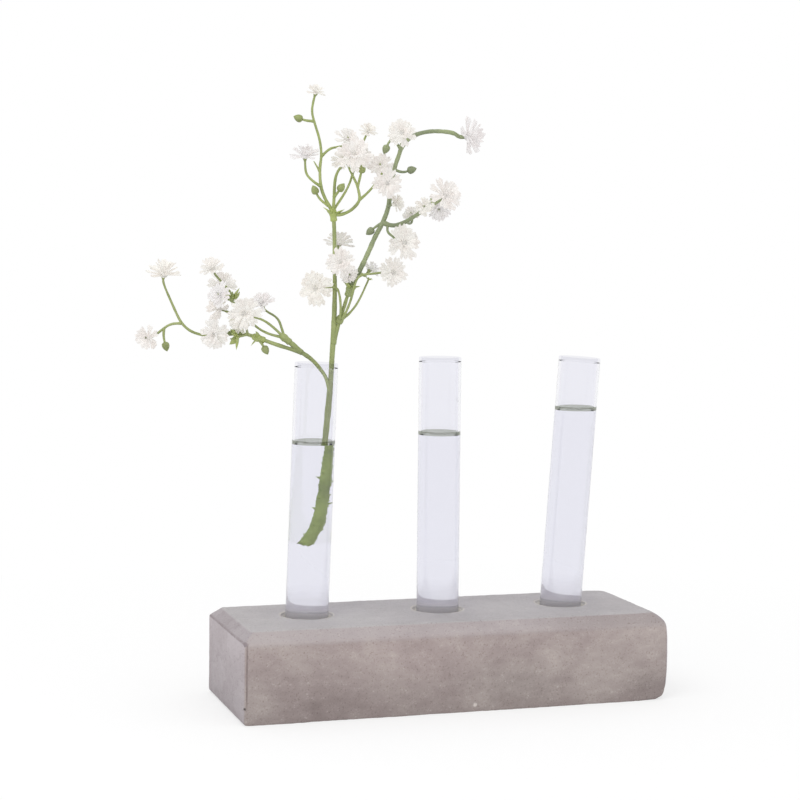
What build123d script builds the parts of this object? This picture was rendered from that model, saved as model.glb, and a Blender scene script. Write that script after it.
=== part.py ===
# Test tube vase: a cast concrete block with three round-bottomed glass tubes standing in its
# sockets, and a sprig of moulded baby's breath in the left tube.
# Lengths are in millimetres and angles in degrees. X runs along the block, its front looks
# towards -Y, Z is up, and the origin is the centre of the block's underside.
from build123d import *
import os
from math import cos, radians, sin, tan

# Concrete block
block_length = 207.0
block_width = 71.0
block_height = 41.4
end_slope_run = 5.4         # sloped top edge at each end
end_slope_drop = 4.4
long_slope_run = 6.1        # sloped top edge along the front and the back
long_slope_drop = 5.4
corner_bevel = 1.8
right_foot_radius = 5.5     # the mould left the right end's lower edge rounder
left_foot_radius = 2.5

# Sockets in the block
socket_clearance = 1.65     # round the tube
left_spacing = 64.2         # from the middle socket to the left one, and to the right one
right_spacing = 63.1
socket_row_offset = 2.2     # the row stands a little behind the middle
socket_floor = 10.6         # concrete left under the middle and right sockets
left_socket_extra = 2.3     # the left socket is this much deeper
socket_rim_bevel = 0.5

# Glass tubes
tube_diameter = 20.0
tube_length = 150.0
tube_wall = 1.2
seat_gap = 0.3              # between a tube's round end and the socket's floor
lean_turn = -18.0           # the tubes lean along this heading from +X
left_lean_share = 0.37      # shares of the lean that the socket's clearance allows
middle_lean_share = -0.07
right_lean_share = 0.70

# Sprig
sprig_height = 212.0        # from the cut foot to the top flower
foot_radius = 2.05
leader_tip_radius = 0.85
rim_stem_radius = 1.35      # where the stem passes the tube's rim
wire_radius = 0.5
wire_clearance = 0.05
limb_radius = 1.05
limb_tip_radius = 0.8
fork_radius = 1.3
leader_radius = 0.8         # leading twig of a spray
twig_radius = 0.6
twig_tip_radius = 0.5
bend_share = 0.45           # each bend uses this share of the shorter run beside it
collar_radius = 1.9
collar_grip = 3.5           # length of the collar on the stem's tip
collar_rise = 2.5           # length of the collar past the tip
collar_clearance = 0.1
leaflet_reach = 2.6
leaflet_radius = 0.55
point_radius = 0.15
bud_radius = 1.9
calyx_radius = 1.1
calyx_length = 1.6
lead_length = 3.0           # straight end of a twig behind its flower
peg_radius = 0.45
peg_clearance = 0.05
peg_proud = 0.3

# Flower heads
head_widths = {"broad": 16.0, "large": 14.5, "medium": 12.5, "small": 11.0, "tiny": 8.0}
outer_petals = 10
inner_petals = 8
outer_petal_lift = 14.0
inner_petal_lift = 46.0
hub_radius_share = 0.1      # shares of the head's width
hub_height_share = 0.2
petal_thickness_share = 0.045
petal_root_share = 0.022
petal_tip_share = 0.075
petal_shoulder_share = 0.43
petal_notch_share = 0.46
outer_petal_height_share = 0.03
inner_petal_height_share = 0.08
head_middle_share = 0.15    # height of the petals' middle over the hub's foot

# Values that follow from these
tube_radius = tube_diameter / 2
bore_radius = tube_radius - tube_wall
socket_radius = tube_radius + socket_clearance
bore_reach = bore_radius - rim_stem_radius
percent = sprig_height / 100
peg_bore_radius = peg_radius + peg_clearance
across = (cos(radians(lean_turn)), sin(radians(lean_turn)), 0)

# The sprig's places are hundredths of its height from the middle of the left tube's mouth:
# across to the right, back, and up. Those of its trunk in the tube are shares of the room in
# the bore, and of the tube's length below its rim.
trunk_shares = [
    (-0.22, 0.85, 0.575), (-0.05, 0.82, 0.545), (0.28, 0.71, 0.50), (0.43, 0.56, 0.42),
    (0.58, 0.40, 0.333), (0.76, 0.21, 0.207), (0.93, 0.04, 0.055),
]
foot_share = 0.565
upper_stem_shares = [
    (3.3, 0, 0.6), (3.6, 0, 5.7), (3.8, 0, 13.4), (3.7, 0, 21.9), (3.5, 0, 29.6), (3.2, 0, 32.2),
]
right_limb_shares = [(3.6, 0, 4.2), (4.3, 0, 7.2), (7.0, 0, 16.1)]
left_limb_shares = [(2.9, 0, -6.3), (2.2, 0, -3.3), (1.2, 0, -1.8), (-0.8, 0, 0.6), (-3.4, 0, 2.3)]
left_lower_limb_shares = [(-3.2, 0, 2.2), (-5.8, 0, 2.9), (-9.1, 0, 3.9), (-12.8, 0, 5.2)]
left_upper_limb_shares = [(-3.2, 0, 2.1), (-5.0, 0, 3.7), (-7.0, 0, 5.3)]
back_stub_shares = [(3.7, 0, 22.6), (4.1, 1.8, 23.4)]
wrap_place_shares = (4.95, 0, 9.4)

# Each head: its place, its size, and the way it looks (across, back, up)
head_shares = {
    "far_left_upper": ((-33.2, 0.0, 19.1), "large", (0.1, -0.25, 1)),
    "far_left_lower": ((-36.5, -1.9, 5.0), "small", (-0.6, -0.8, -0.1)),
    "left_top": ((-23.0, 0.9, 20.3), "small", (-0.35, -0.5, 0.8)),
    "left_upper": ((-21.0, 5.2, 16.8), "medium", (0.1, -0.6, 0.8)),
    "left_side": ((-21.0, -1.9, 14.5), "small", (-0.5, -0.8, 0.3)),
    "left_middle": ((-21.7, 2.8, 11.5), "medium", (-0.6, -0.5, 0.3)),
    "left_low": ((-21.9, -3.8, 6.0), "medium", (-0.2, -0.95, -0.2)),
    "left_front": ((-15.3, -4.2, 10.5), "large", (-0.15, -0.95, 0.2)),
    "left_rear": ((-16.8, -0.4, 8.8), "small", (-0.6, -0.7, -0.4)),
    "left_fork": ((-12.2, 1.9, 12.8), "small", (-0.3, -0.5, 0.8)),
    "top_tip": ((-0.7, 0.0, 58.3), "tiny", (0.3, -0.3, 0.9)),
    "top_left": ((-2.9, -1.4, 44.8), "medium", (0, -0.2, 1)),
    "top_right": ((6.0, 2.4, 48.4), "small", (0.4, -0.6, 0.7)),
    "top_far": ((10.4, 4.7, 50.4), "tiny", (0.3, -0.5, 0.8)),
    "top_centre": ((7.7, -2.8, 44.9), "large", (0, -0.95, 0.3)),
    "top_low": ((5.2, 1.9, 44.0), "small", (-0.4, -0.7, 0.5)),
    "top_back": ((9.6, 3.3, 44.4), "small", (0.6, -0.5, 0.6)),
    "top_side": ((13.3, 0.9, 42.8), "small", (-0.3, -0.8, 0.4)),
    "right_upper": ((17.8, -2.8, 49.5), "medium", (-0.1, -0.9, 0.4)),
    "right_tip": ((32.6, 2.8, 49.4), "broad", (0.95, -0.3, 0.1)),
    "right_front": ((14.9, -4.7, 38.8), "medium", (-0.1, -0.95, -0.2)),
    "right_small": ((16.9, -1.9, 34.7), "tiny", (0.8, -0.5, 0.3)),
    "right_outer": ((27.5, -1.9, 36.7), "large", (0.5, -0.7, 0.5)),
    "right_low": ((26.0, 2.4, 33.6), "small", (0.1, -0.9, -0.3)),
    "right_inner": ((22.8, -1.4, 34.0), "tiny", (-0.1, -0.95, 0.2)),
    "right_nub": ((20.0, 1.9, 32.4), "tiny", (-0.2, -0.6, 0.8)),
    "right_lower": ((18.6, -2.4, 26.2), "large", (0.4, -0.8, 0.1)),
    "centre_left": ((-0.2, -2.4, 16.2), "large", (-0.15, -0.97, 0.1)),
    "centre_front": ((5.1, -3.8, 21.8), "medium", (-0.1, -0.95, 0.2)),
    "centre_small": ((6.9, -2.4, 19.3), "tiny", (0.3, -0.8, -0.2)),
    "centre_back": ((4.5, 4.2, 26.2), "medium", (0.1, 0.3, 0.95)),
    "centre_right": ((16.3, -2.8, 19.9), "medium", (0.35, -0.92, -0.1)),
    "centre_pale": ((11.5, 2.8, 20.5), "tiny", (0.5, 0.3, 0.6)),
}

# Each twig: its thickness, the head or bud at its end, and its points
left_tip_twig_shares = [
    ("leader", "far_left_upper", [
        (-12.8, 0, 5.2), (-15.0, 0.5, 5.9), (-17.9, 0.9, 6.0), (-22.4, 1.2, 5.4),
        (-25.3, 0.9, 5.6), (-27.7, 0.5, 6.5), (-29.4, 0, 8.2), (-30.6, 0, 10.6), (-31.5, 0, 12.6)]),
    ("twig", "far_left_lower", [(-29.4, 0, 8.1), (-31.6, -0.5, 8.0), (-33.3, -0.9, 6.8)]),
    ("twig", "bud", [(-33.0, -0.8, 7.0), (-33.1, -0.9, 5.1), (-32.6, -0.9, 3.2)]),
    ("twig", "left_top", [
        (-15.0, 0.5, 5.9), (-15.4, 3.0, 6.7), (-16.5, 4.2, 8.8), (-17.5, 3.8, 12.1), (-19.0, 1.8, 15.2)]),
    ("twig", "left_upper", [(-17.4, 3.9, 11.8), (-19.3, 6.4, 13.0)]),
    ("twig", "left_side", [(-18.2, 3.4, 13.5), (-19.0, 1.5, 13.2)]),
    ("twig", "left_middle", [(-17.0, 4.0, 10.3), (-18.6, 4.3, 10.2)]),
    ("twig", "left_low", [(-17.9, 0.9, 6.0), (-19.8, -0.4, 6.6)]),
    ("twig", "bud", [(-13.2, 0, 5.4), (-11.9, -0.6, 4.1), (-11.1, -0.6, 2.7)]),
    ("leaf", "point", [(-15.6, 0.6, 5.9), (-17.0, 1.8, 6.4), (-18.9, 2.0, 6.6)]),
    ("leaf", "point", [(-15.0, 0.5, 5.9), (-17.0, -0.6, 5.3), (-18.7, -0.7, 4.9)]),
    ("leaf", "point", [(-17.3, 3.8, 11.6), (-18.1, 3.7, 13.3), (-18.7, 3.6, 15.0)]),
]
left_fork_twig_shares = [
    ("twig", "left_fork", [(-7.0, 0, 5.3), (-7.6, 0.5, 7.2), (-8.5, 1.2, 9.6)]),
    ("twig", "left_front", [(-7.0, 0, 5.3), (-9.7, -0.9, 7.9), (-11.9, -1.7, 9.4)]),
    ("twig", "left_rear", [(-7.0, 0, 5.3), (-10.3, -0.2, 6.0), (-12.9, 0.1, 7.3)]),
]
top_twig_shares = [
    ("leader", "top_tip", [
        (3.2, 0, 32.2), (2.5, 0, 33.7), (1.4, 0, 35.4), (0.4, 0, 38.0), (0.2, 0, 42.0),
        (0.6, 0, 44.6), (0.2, 0, 47.9), (-0.9, 0, 51.2), (-1.7, 0, 53.9)]),
    ("twig", "bud", [(-1.2, 0, 51.9), (-2.9, 0, 52.0), (-4.4, 0, 52.5)]),
    ("twig", "top_right", [(0.5, 0, 44.4), (2.3, 0.6, 46.2), (3.8, 2.6, 46.6)]),
    ("twig", "point", [(0.2, 0, 41.3), (-1.1, 0, 43.4)]),
    ("twig", "top_left", [(0.5, 0, 38.0), (-1.4, -0.5, 39.2), (-2.7, -0.9, 40.6)]),
    ("twig", "bud", [(2.1, 0, 33.9), (0.2, -0.7, 35.3), (-0.7, -0.9, 37.1)]),
    ("leader", "top_centre", [
        (3.2, 0, 32.2), (3.4, -0.9, 35.2), (3.5, -1.4, 39.4), (4.2, -1.4, 41.5), (5.6, -0.9, 43.0)]),
    ("twig", "bud", [(3.4, -1.0, 35.8), (4.1, -1.8, 36.6), (4.9, -2.0, 37.7)]),
    ("twig", "top_back", [(3.3, 0, 33.0), (5.8, 0.9, 36.9), (6.8, 1.2, 39.1), (7.3, 1.6, 41.2)]),
    ("twig", "top_far", [(7.2, 1.5, 40.8), (7.0, 5.0, 43.5), (8.4, 6.4, 46.2)]),
    ("leader", "top_low", [
        (3.2, 0, 32.2), (4.7, 0, 31.9), (6.9, 0, 32.8), (8.5, 0, 34.4), (9.0, 0, 35.7),
        (8.3, 0, 38.5), (7.2, 0.8, 40.6)]),
    ("twig", "bud", [(8.4, 0, 38.0), (8.9, -0.3, 40.0), (9.3, -0.3, 41.8)]),
    ("twig", "top_side", [(8.9, 0, 35.3), (10.6, 0.7, 36.8), (12.6, 1.6, 39.2)]),
]
right_twig_shares = [
    ("leader", "right_upper", [
        (7.0, 0, 16.1), (8.8, 0, 19.4), (11.1, 0, 24.4), (12.2, 0, 27.2), (14.0, 0, 30.5),
        (15.2, 0, 33.9), (15.4, 0, 37.0), (16.4, 0, 42.8), (17.4, 0, 45.4)]),
    ("twig", "right_tip", [
        (17.5, 0, 46.3), (18.9, 1.4, 48.3), (20.3, 1.9, 49.3), (22.6, 2.4, 50.1),
        (25.3, 2.8, 50.4), (29.0, 2.8, 50.1)]),
    ("twig", "bud", [(17.5, 0, 46.2), (16.1, 0.4, 48.4), (15.1, 0.4, 48.0), (14.4, 0.4, 46.3)]),
    ("twig", "bud", [(16.3, 0, 41.8), (18.1, 0, 41.2), (19.9, 0, 41.8)]),
    ("twig", "bud", [(14.0, 0, 30.5), (12.6, 0, 29.7), (11.3, 0, 28.6)]),
    ("twig", "right_front", [(15.4, 0, 37.2), (15.4, -1.0, 38.4)]),
    ("twig", "right_small", [(15.1, 0, 33.6)]),
    ("leader", "right_outer", [
        (14.0, 0, 30.5), (15.0, 0, 30.0), (16.7, 0, 29.8), (19.0, 0, 30.7), (21.9, 0, 32.7),
        (24.9, 0, 34.6)]),
    ("twig", "right_inner", [(21.9, 0, 32.7)]),
    ("twig", "right_low", [(24.6, 0, 34.4), (24.2, 2.4, 36.4)]),
    ("twig", "right_nub", [(19.0, 0, 30.7), (19.8, 2.2, 30.2)]),
    ("twig", "right_lower", [(15.0, 0, 30.0), (14.9, -0.3, 28.4), (16.3, -0.3, 27.4)]),
    ("twig", "centre_front", [(7.2, -0.3, 16.8), (5.9, -1.3, 18.6), (5.4, -1.2, 20.0)]),
    ("twig", "centre_small", [(7.2, -0.3, 16.8), (7.0, -1.0, 18.1)]),
]
centre_twig_shares = [
    ("twig", "centre_left", [(5.0, -0.8, 9.6), (5.2, -1.2, 11.5), (4.9, -1.2, 15.0), (4.0, -1.2, 16.7)]),
    ("twig", "centre_right", [
        (5.4, -0.6, 9.6), (6.3, -1.5, 11.0), (7.5, -2.1, 14.2), (8.3, -2.2, 18.1),
        (9.6, -1.6, 19.3), (12.8, -1.2, 19.5)]),
    ("twig", "calyx", [(5.5, 0.3, 9.6), (7.1, 0.8, 10.8), (9.0, 0.8, 13.4), (11.0, 0.8, 18.1)]),
    ("twig", "centre_pale", [(9.6, -1.6, 19.3), (10.4, 0.4, 18.8)]),
]


socket_places = {"left": -left_spacing, "middle": 0, "right": right_spacing}
socket_depths = {name: block_height - socket_floor for name in socket_places}
socket_depths["left"] += left_socket_extra
lean_shares = {"left": left_lean_share, "middle": middle_lean_share, "right": right_lean_share}

# A cast block: a box with sloped top edges, bevelled corners and three blind sockets
with BuildPart() as concrete_block:
    with BuildSketch():
        Rectangle(block_length, block_width)
    extrude(amount=block_height)
    top_face = concrete_block.faces().sort_by(Axis.Z)[-1]
    chamfer(top_face.edges().filter_by(Axis.Y), end_slope_run, end_slope_drop, reference=top_face)
    top_face = concrete_block.faces().sort_by(Axis.Z)[-1]
    chamfer(top_face.edges().filter_by(Axis.X), long_slope_run, long_slope_drop, reference=top_face)
    chamfer(concrete_block.edges().filter_by(Axis.Z), corner_bevel)
    foot_edges = concrete_block.faces().sort_by(Axis.Z)[0].edges().filter_by(Axis.Y)
    fillet(foot_edges.sort_by(Axis.X)[0], left_foot_radius)
    foot_edges = concrete_block.faces().sort_by(Axis.Z)[0].edges().filter_by(Axis.Y)
    fillet(foot_edges.sort_by(Axis.X)[-1], right_foot_radius)
    for name, place_x in socket_places.items():
        with Locations((place_x, socket_row_offset, block_height)):
            Hole(socket_radius, socket_depths[name])
    chamfer(concrete_block.edges().filter_by(GeomType.CIRCLE).group_by(Axis.Z)[-1], socket_rim_bevel)
concrete_block.part.label = "concrete_block"


# A tube stands on its round end in the socket, and leans as far as its share of the clearance.
# Its axis crosses the middle of the socket's mouth. Origin: the middle of the round end's ball.
def tube_plane(name):
    ball_drop = socket_depths[name] - seat_gap - tube_radius
    slope = lean_shares[name] * socket_clearance / ball_drop
    direction = Vector(across[0] * slope, across[1] * slope, 1)
    mouth = Vector(socket_places[name], socket_row_offset, block_height)
    return Plane(mouth - direction * ball_drop, x_dir=across, z_dir=direction.normalized())


def glass_tube(name):
    seat = tube_plane(name)
    rim_height = tube_length - tube_radius
    lip_radius = tube_wall / 2
    with BuildPart() as tube:
        with BuildSketch(Plane(seat.origin, x_dir=seat.x_dir, z_dir=-seat.y_dir)):
            with BuildLine():
                ThreePointArc(
                    (0, -tube_radius),
                    (tube_radius * sin(radians(45)), -tube_radius * cos(radians(45))),
                    (tube_radius, 0))
                Line((tube_radius, 0), (tube_radius, rim_height - lip_radius))
                ThreePointArc(
                    (tube_radius, rim_height - lip_radius),
                    (tube_radius - lip_radius, rim_height),
                    (bore_radius, rim_height - lip_radius))
                Line((bore_radius, rim_height - lip_radius), (bore_radius, 0))
                ThreePointArc(
                    (bore_radius, 0),
                    (bore_radius * sin(radians(45)), -bore_radius * cos(radians(45))),
                    (0, -bore_radius))
                Line((0, -bore_radius), (0, -tube_radius))
            make_face()
        revolve(axis=Axis(seat.origin, seat.z_dir))
    tube.part.label = f"glass_tube_{name}"
    return tube.part


tubes = [glass_tube(name) for name in socket_places]

# The sprig stands in the left tube
left_plane = tube_plane("left")
mouth_centre = left_plane.from_local_coords(Vector(0, 0, tube_length - tube_radius))
sprig_plane = Plane(mouth_centre, x_dir=across, z_dir=(0, 0, 1))


def place(shares):
    return sprig_plane.from_local_coords(Vector(*shares) * percent)


def heading(shares):
    end = sprig_plane.from_local_coords(Vector(*shares))
    return (end - sprig_plane.origin).normalized()


def trunk_place(shares):
    across_share, back_share, drop_share = shares
    height = tube_length - tube_radius - drop_share * tube_length
    return left_plane.from_local_coords(Vector(across_share * bore_reach, back_share * bore_reach, height))


# Straight runs joined by arcs as wide as the runs allow
def bend_radii(points):
    runs = [(after - before).length for before, after in zip(points, points[1:])]
    radii = []
    for index in range(1, len(points) - 1):
        turn = (points[index] - points[index - 1]).get_angle(points[index + 1] - points[index])
        radii.append(bend_share * min(runs[index - 1], runs[index]) / tan(radians(turn / 2)))
    return radii


# A round stem along the points, tapering evenly from one end to the other
def rod(points, start_radius, end_radius):
    with BuildPart() as stem:
        with BuildLine() as path:
            if len(points) == 2:
                Line(*points)
            else:
                FilletPolyline(*points, radius=bend_radii(points))
        with BuildSketch(Plane(path.line @ 0, z_dir=path.line % 0)):
            Circle(start_radius)
        with BuildSketch(Plane(path.line @ 1, z_dir=path.line % 1)):
            Circle(end_radius)
        sweep(path=path.line, multisection=True)
    return stem.part


# Olive stem: one leader from the foot to the top collar, with three limbs and a stub
leader_points = [trunk_place(shares) for shares in trunk_shares]
leader_points += [place(shares) for shares in upper_stem_shares]


def leader(spare):
    return rod(leader_points, foot_radius + spare, leader_tip_radius + spare)


limb_shares = {
    "right": (right_limb_shares, limb_radius, limb_tip_radius),
    "left": (left_limb_shares, twig_radius, limb_radius),
    "left_lower": (left_lower_limb_shares, limb_radius, limb_tip_radius),
    "left_upper": (left_upper_limb_shares, limb_radius, fork_radius),
}
wire_bore_radius = wire_radius + wire_clearance
foot_height = trunk_place((0, 0, foot_share)).Z


# The end of a twig behind a head: a straight lead, a calyx, and a peg through the hub
def head_foot(name):
    middle, size, look = head_shares[name]
    return place(middle) - heading(look) * head_middle_share * head_widths[size]


def twig_to_head(points, name, start_radius):
    look = heading(head_shares[name][2])
    foot = head_foot(name)
    hub_height = hub_height_share * head_widths[head_shares[name][1]]
    with BuildPart() as twig:
        add(rod(points + [foot - look * lead_length, foot], start_radius, twig_tip_radius))
        add(rod([foot - look * calyx_length, foot], twig_tip_radius, calyx_radius))
        add(rod([foot - look * calyx_length, foot + look * (hub_height + peg_proud)], peg_radius, peg_radius))
    return twig.part


def twig_to_bud(points, start_radius):
    with BuildPart() as twig:
        add(rod(points, start_radius, twig_tip_radius))
        with Locations(Plane(points[-1], z_dir=points[-1] - points[-2])):
            Sphere(bud_radius)
    return twig.part


def twig(kind, end, shares):
    points = [place(point) for point in shares]
    start_radius = {"leader": leader_radius, "twig": twig_radius, "leaf": calyx_radius}[kind]
    if end in head_shares:
        return twig_to_head(points, end, start_radius)
    if end == "bud":
        return twig_to_bud(points, start_radius)
    return rod(points, start_radius, calyx_radius if end == "calyx" else point_radius)


# A pushed-on collar: a sleeve over the stem's tip, with a ring of leaflets
def collar(before, tip, leaflet_count):
    ahead = (tip - before).normalized()
    ring = Plane(tip, z_dir=ahead)
    with BuildPart() as sleeve:
        add(rod([tip - ahead * collar_grip, tip + ahead * collar_rise], collar_radius, collar_radius))
        for index in range(leaflet_count):
            angle = radians(360 * index / leaflet_count)
            outward = ring.from_local_coords(Vector(cos(angle), sin(angle), 0)) - tip
            root = tip + outward * (collar_radius - leaflet_radius)
            add(rod([root, root + outward * leaflet_reach + ahead * collar_rise], leaflet_radius, point_radius))
    return sleeve.part


with BuildPart() as main_stem:
    add(leader(0))
    for shares, start_radius, end_radius in limb_shares.values():
        add(rod([place(point) for point in shares], start_radius, end_radius))
    with Locations(place(left_limb_shares[-1])):
        Sphere(fork_radius)
    add(twig_to_head([place(point) for point in back_stub_shares], "centre_back", twig_radius))
    add(rod(leader_points, wire_bore_radius, wire_bore_radius), mode=Mode.SUBTRACT)
    split(bisect_by=Plane.XY.offset(foot_height), keep=Keep.TOP)
main_stem.part.label = "main_stem"

with BuildPart() as stem_wire:
    add(rod(leader_points, wire_radius, wire_radius))
    split(bisect_by=Plane.XY.offset(foot_height), keep=Keep.TOP)
stem_wire.part.label = "stem_wire"


# A spray: a collar on the stem's tip and the twigs that rise from it
def spray(label, stem_shares, tip_radius, leaflet_count, twig_shares):
    before, tip = [place(point) for point in stem_shares[-2:]]
    ahead = (tip - before).normalized()
    bore_radius_here = tip_radius + collar_clearance
    with BuildPart() as piece:
        add(collar(before, tip, leaflet_count))
        for kind, end, shares in twig_shares:
            add(twig(kind, end, shares))
        add(rod([tip - ahead * 2 * collar_grip, tip], bore_radius_here, bore_radius_here), mode=Mode.SUBTRACT)
    piece.part.label = label
    return piece.part


sprays = [
    spray("left_tip_spray", left_lower_limb_shares, limb_tip_radius, 0, left_tip_twig_shares),
    spray("left_fork_spray", left_upper_limb_shares, fork_radius, 0, left_fork_twig_shares),
    spray("top_spray", upper_stem_shares, leader_tip_radius, 5, top_twig_shares),
    spray("right_spray", right_limb_shares, limb_tip_radius, 4, right_twig_shares),
]

# The centre spray wraps the right limb part way up, with a groove for the leader beside it
with BuildPart() as centre_spray:
    limb_ahead = (place(right_limb_shares[2]) - place(right_limb_shares[1])).normalized()
    wrap_middle = place(wrap_place_shares)
    wrap_ends = [wrap_middle - limb_ahead * collar_grip / 2, wrap_middle + limb_ahead * collar_grip / 2]
    limb_ends = [wrap_middle - limb_ahead * collar_grip, wrap_middle + limb_ahead * 2 * collar_grip]
    add(rod(wrap_ends, collar_radius, collar_radius))
    for kind, end, shares in centre_twig_shares:
        add(twig(kind, end, shares))
    wrap_bore_radius = limb_radius + collar_clearance
    add(rod(limb_ends, wrap_bore_radius, wrap_bore_radius), mode=Mode.SUBTRACT)
    add(leader(collar_clearance), mode=Mode.SUBTRACT)
centre_spray.part.label = "centre_spray"


# A moulded head: a hub with a peg hole, a flat outer ring of petals and a steeper inner ring
def head_template(width):
    hub_radius = hub_radius_share * width
    half_width = width / 2
    root = petal_root_share * width
    tip = petal_tip_share * width
    shoulder = petal_shoulder_share * width
    with BuildPart() as petal:
        with BuildSketch():
            with BuildLine():
                Polyline(
                    (hub_radius - root, -root), (shoulder, -tip), (half_width, -tip / 2),
                    (petal_notch_share * width, 0),
                    (half_width, tip / 2), (shoulder, tip), (hub_radius - root, root), close=True)
            make_face()
        extrude(amount=petal_thickness_share * width)
    outer = petal.part.rotate(Axis.Y, -outer_petal_lift)
    inner = petal.part.rotate(Axis.Y, -inner_petal_lift)
    with BuildPart() as head:
        with BuildSketch():
            Circle(hub_radius)
        extrude(amount=hub_height_share * width)
        with PolarLocations(0, outer_petals):
            add(outer.moved(Location((0, 0, outer_petal_height_share * width))))
        with PolarLocations(0, inner_petals, start_angle=180 / outer_petals):
            add(inner.moved(Location((0, 0, inner_petal_height_share * width))))
        with Locations((0, 0, hub_height_share * width)):
            Hole(peg_bore_radius)
    return head.part


templates = {size: head_template(width) for size, width in head_widths.items()}


def flower_head(name):
    size, look = head_shares[name][1:]
    head = templates[size].moved(Plane(head_foot(name), z_dir=heading(look)).location)
    head.label = f"head_{name}"
    return head


heads = [flower_head(name) for name in head_shares]

os.makedirs("parts", exist_ok=True)
pieces = [concrete_block.part, main_stem.part, stem_wire.part, centre_spray.part]
for piece in pieces + tubes + sprays + heads:
    export_step(piece, f"parts/{piece.label}.step")
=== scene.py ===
from functools import partial
from math import cos, pi, radians, sin, sqrt
import bmesh
import bpy
import numpy as np
from mathutils import Matrix


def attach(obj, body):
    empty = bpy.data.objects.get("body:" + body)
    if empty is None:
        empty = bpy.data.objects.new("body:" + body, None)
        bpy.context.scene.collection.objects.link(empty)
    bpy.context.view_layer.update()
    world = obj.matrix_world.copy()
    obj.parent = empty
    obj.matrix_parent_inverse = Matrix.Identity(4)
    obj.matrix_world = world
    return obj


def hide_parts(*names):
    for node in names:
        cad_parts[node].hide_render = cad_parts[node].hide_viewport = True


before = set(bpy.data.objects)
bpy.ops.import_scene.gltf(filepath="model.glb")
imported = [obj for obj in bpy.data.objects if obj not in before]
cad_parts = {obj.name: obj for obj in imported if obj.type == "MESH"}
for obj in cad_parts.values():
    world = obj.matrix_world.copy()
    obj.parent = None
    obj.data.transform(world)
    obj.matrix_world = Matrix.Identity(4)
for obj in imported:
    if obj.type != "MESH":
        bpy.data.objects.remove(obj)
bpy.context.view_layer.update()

# A test tube vase: a cast concrete block, three glass tubes with water, and a moulded sprig.
# Shapes are worked out in millimetres and put into meshes in metres.
mm = 0.001


# quads between the rings of a grid of points, whose last column joins the first
def gridFaces(rows, columns):
    i, j = np.meshgrid(np.arange(rows - 1), np.arange(columns), indexing="ij")
    k = (j + 1) % columns
    corners = [i * columns + j, i * columns + k, (i + 1) * columns + k, (i + 1) * columns + j]
    return np.stack(corners, -1).reshape(-1, 4)


# rings as one shape: quads between them, and a fan of triangles to each pole that is given
def ringShape(rings, startPole=None, endPole=None):
    rows, columns = rings.shape[:2]
    j = np.arange(columns)
    k = (j + 1) % columns
    last = (rows - 1) * columns
    points, faces = [rings.reshape(-1, 3)], list(gridFaces(rows, columns))
    for pole, first, second in ((startPole, k, j), (endPole, last + j, last + k)):
        if pole is not None:
            faces += list(np.stack([np.full(columns, rows * columns + len(points) - 1), first, second], -1))
            points.append([pole])
    return np.vstack(points), faces


# several shapes as one, each a pair of points and faces; a fourth column of the points is their tone
def joinShapes(shapes):
    points, faces, count = [], [], 0
    for shapePoints, shapeFaces in shapes:
        if shapePoints.shape[1] == 3:
            shapePoints = np.column_stack([shapePoints, np.ones(len(shapePoints))])
        points.append(shapePoints)
        faces += [np.asarray(face) + count for face in shapeFaces]
        count += len(shapePoints)
    return np.vstack(points), faces


# an object of the scene, from its mesh, camera or lamp
def addObject(name, data):
    item = bpy.data.objects.new(name, data)
    bpy.context.scene.collection.objects.link(item)
    return item


# a piece of the object, riding on its body; loose seams are merged where they meet
def makePiece(name, shape, material, body, merge=0.0, colours=None, smooth=True):
    points, faces = shape
    mesh = bpy.data.meshes.new(name)
    mesh.from_pydata((points[:, :3] * mm).tolist(), [], [face.tolist() for face in faces])
    if colours is not None:
        layer = mesh.color_attributes.new("tint", "FLOAT_COLOR", "POINT")
        layer.data.foreach_set("color", np.ravel(colours))
    if points.shape[1] == 4:
        mesh.attributes.new("tone", "FLOAT", "POINT").data.foreach_set("value", points[:, 3])
    if merge:
        work = bmesh.new()
        work.from_mesh(mesh)
        bmesh.ops.remove_doubles(work, verts=work.verts, dist=merge * mm)
        bmesh.ops.recalc_face_normals(work, faces=work.faces)
        work.to_mesh(mesh)
        work.free()
    mesh.polygons.foreach_set("use_smooth", [smooth] * len(mesh.polygons))
    mesh.update()
    piece = addObject(name, mesh)
    piece.data.materials.append(material)
    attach(piece, body)
    return piece


# one vector, or each of several, at length 1
def unit(vectors):
    vectors = np.asarray(vectors, float)
    return vectors / np.linalg.norm(vectors, axis=-1, keepdims=True)


# rings carried along a path: each ring is the path's point plus its radius times two sideways
# directions; lobes swell the ring by a share of the radius, and the ends close in a round tip
def alongPath(path, radii, sides, lobes=0, lobeShare=0.0):
    ahead = unit(np.gradient(path, axis=0))
    side = unit(np.cross(ahead, np.eye(3)[np.argmin(np.abs(ahead).max(axis=0))]))
    angle = np.arange(sides)[:, None] * 2 * pi / sides
    ring = np.cos(angle) * side[:, None] + np.sin(angle) * np.cross(ahead, side)[:, None]
    rings = path[:, None] + radii[:, None, None] * (1 + lobeShare * np.cos(lobes * angle)) * ring
    tip = 0.5 * radii[:, None] * ahead
    return ringShape(rings, path[0] - tip[0], path[-1] + tip[-1])


# corner cutting: each pass takes the points a quarter and three quarters along every run
def roundCorners(points, passes=3):
    for turn in range(passes if len(points) > 2 else 0):
        cuts = [0.75 * points[:-1] + 0.25 * points[1:], 0.25 * points[:-1] + 0.75 * points[1:]]
        points = np.vstack([points[:1], np.stack(cuts, axis=1).reshape(-1, 3), points[-1:]])
    return points


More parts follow.
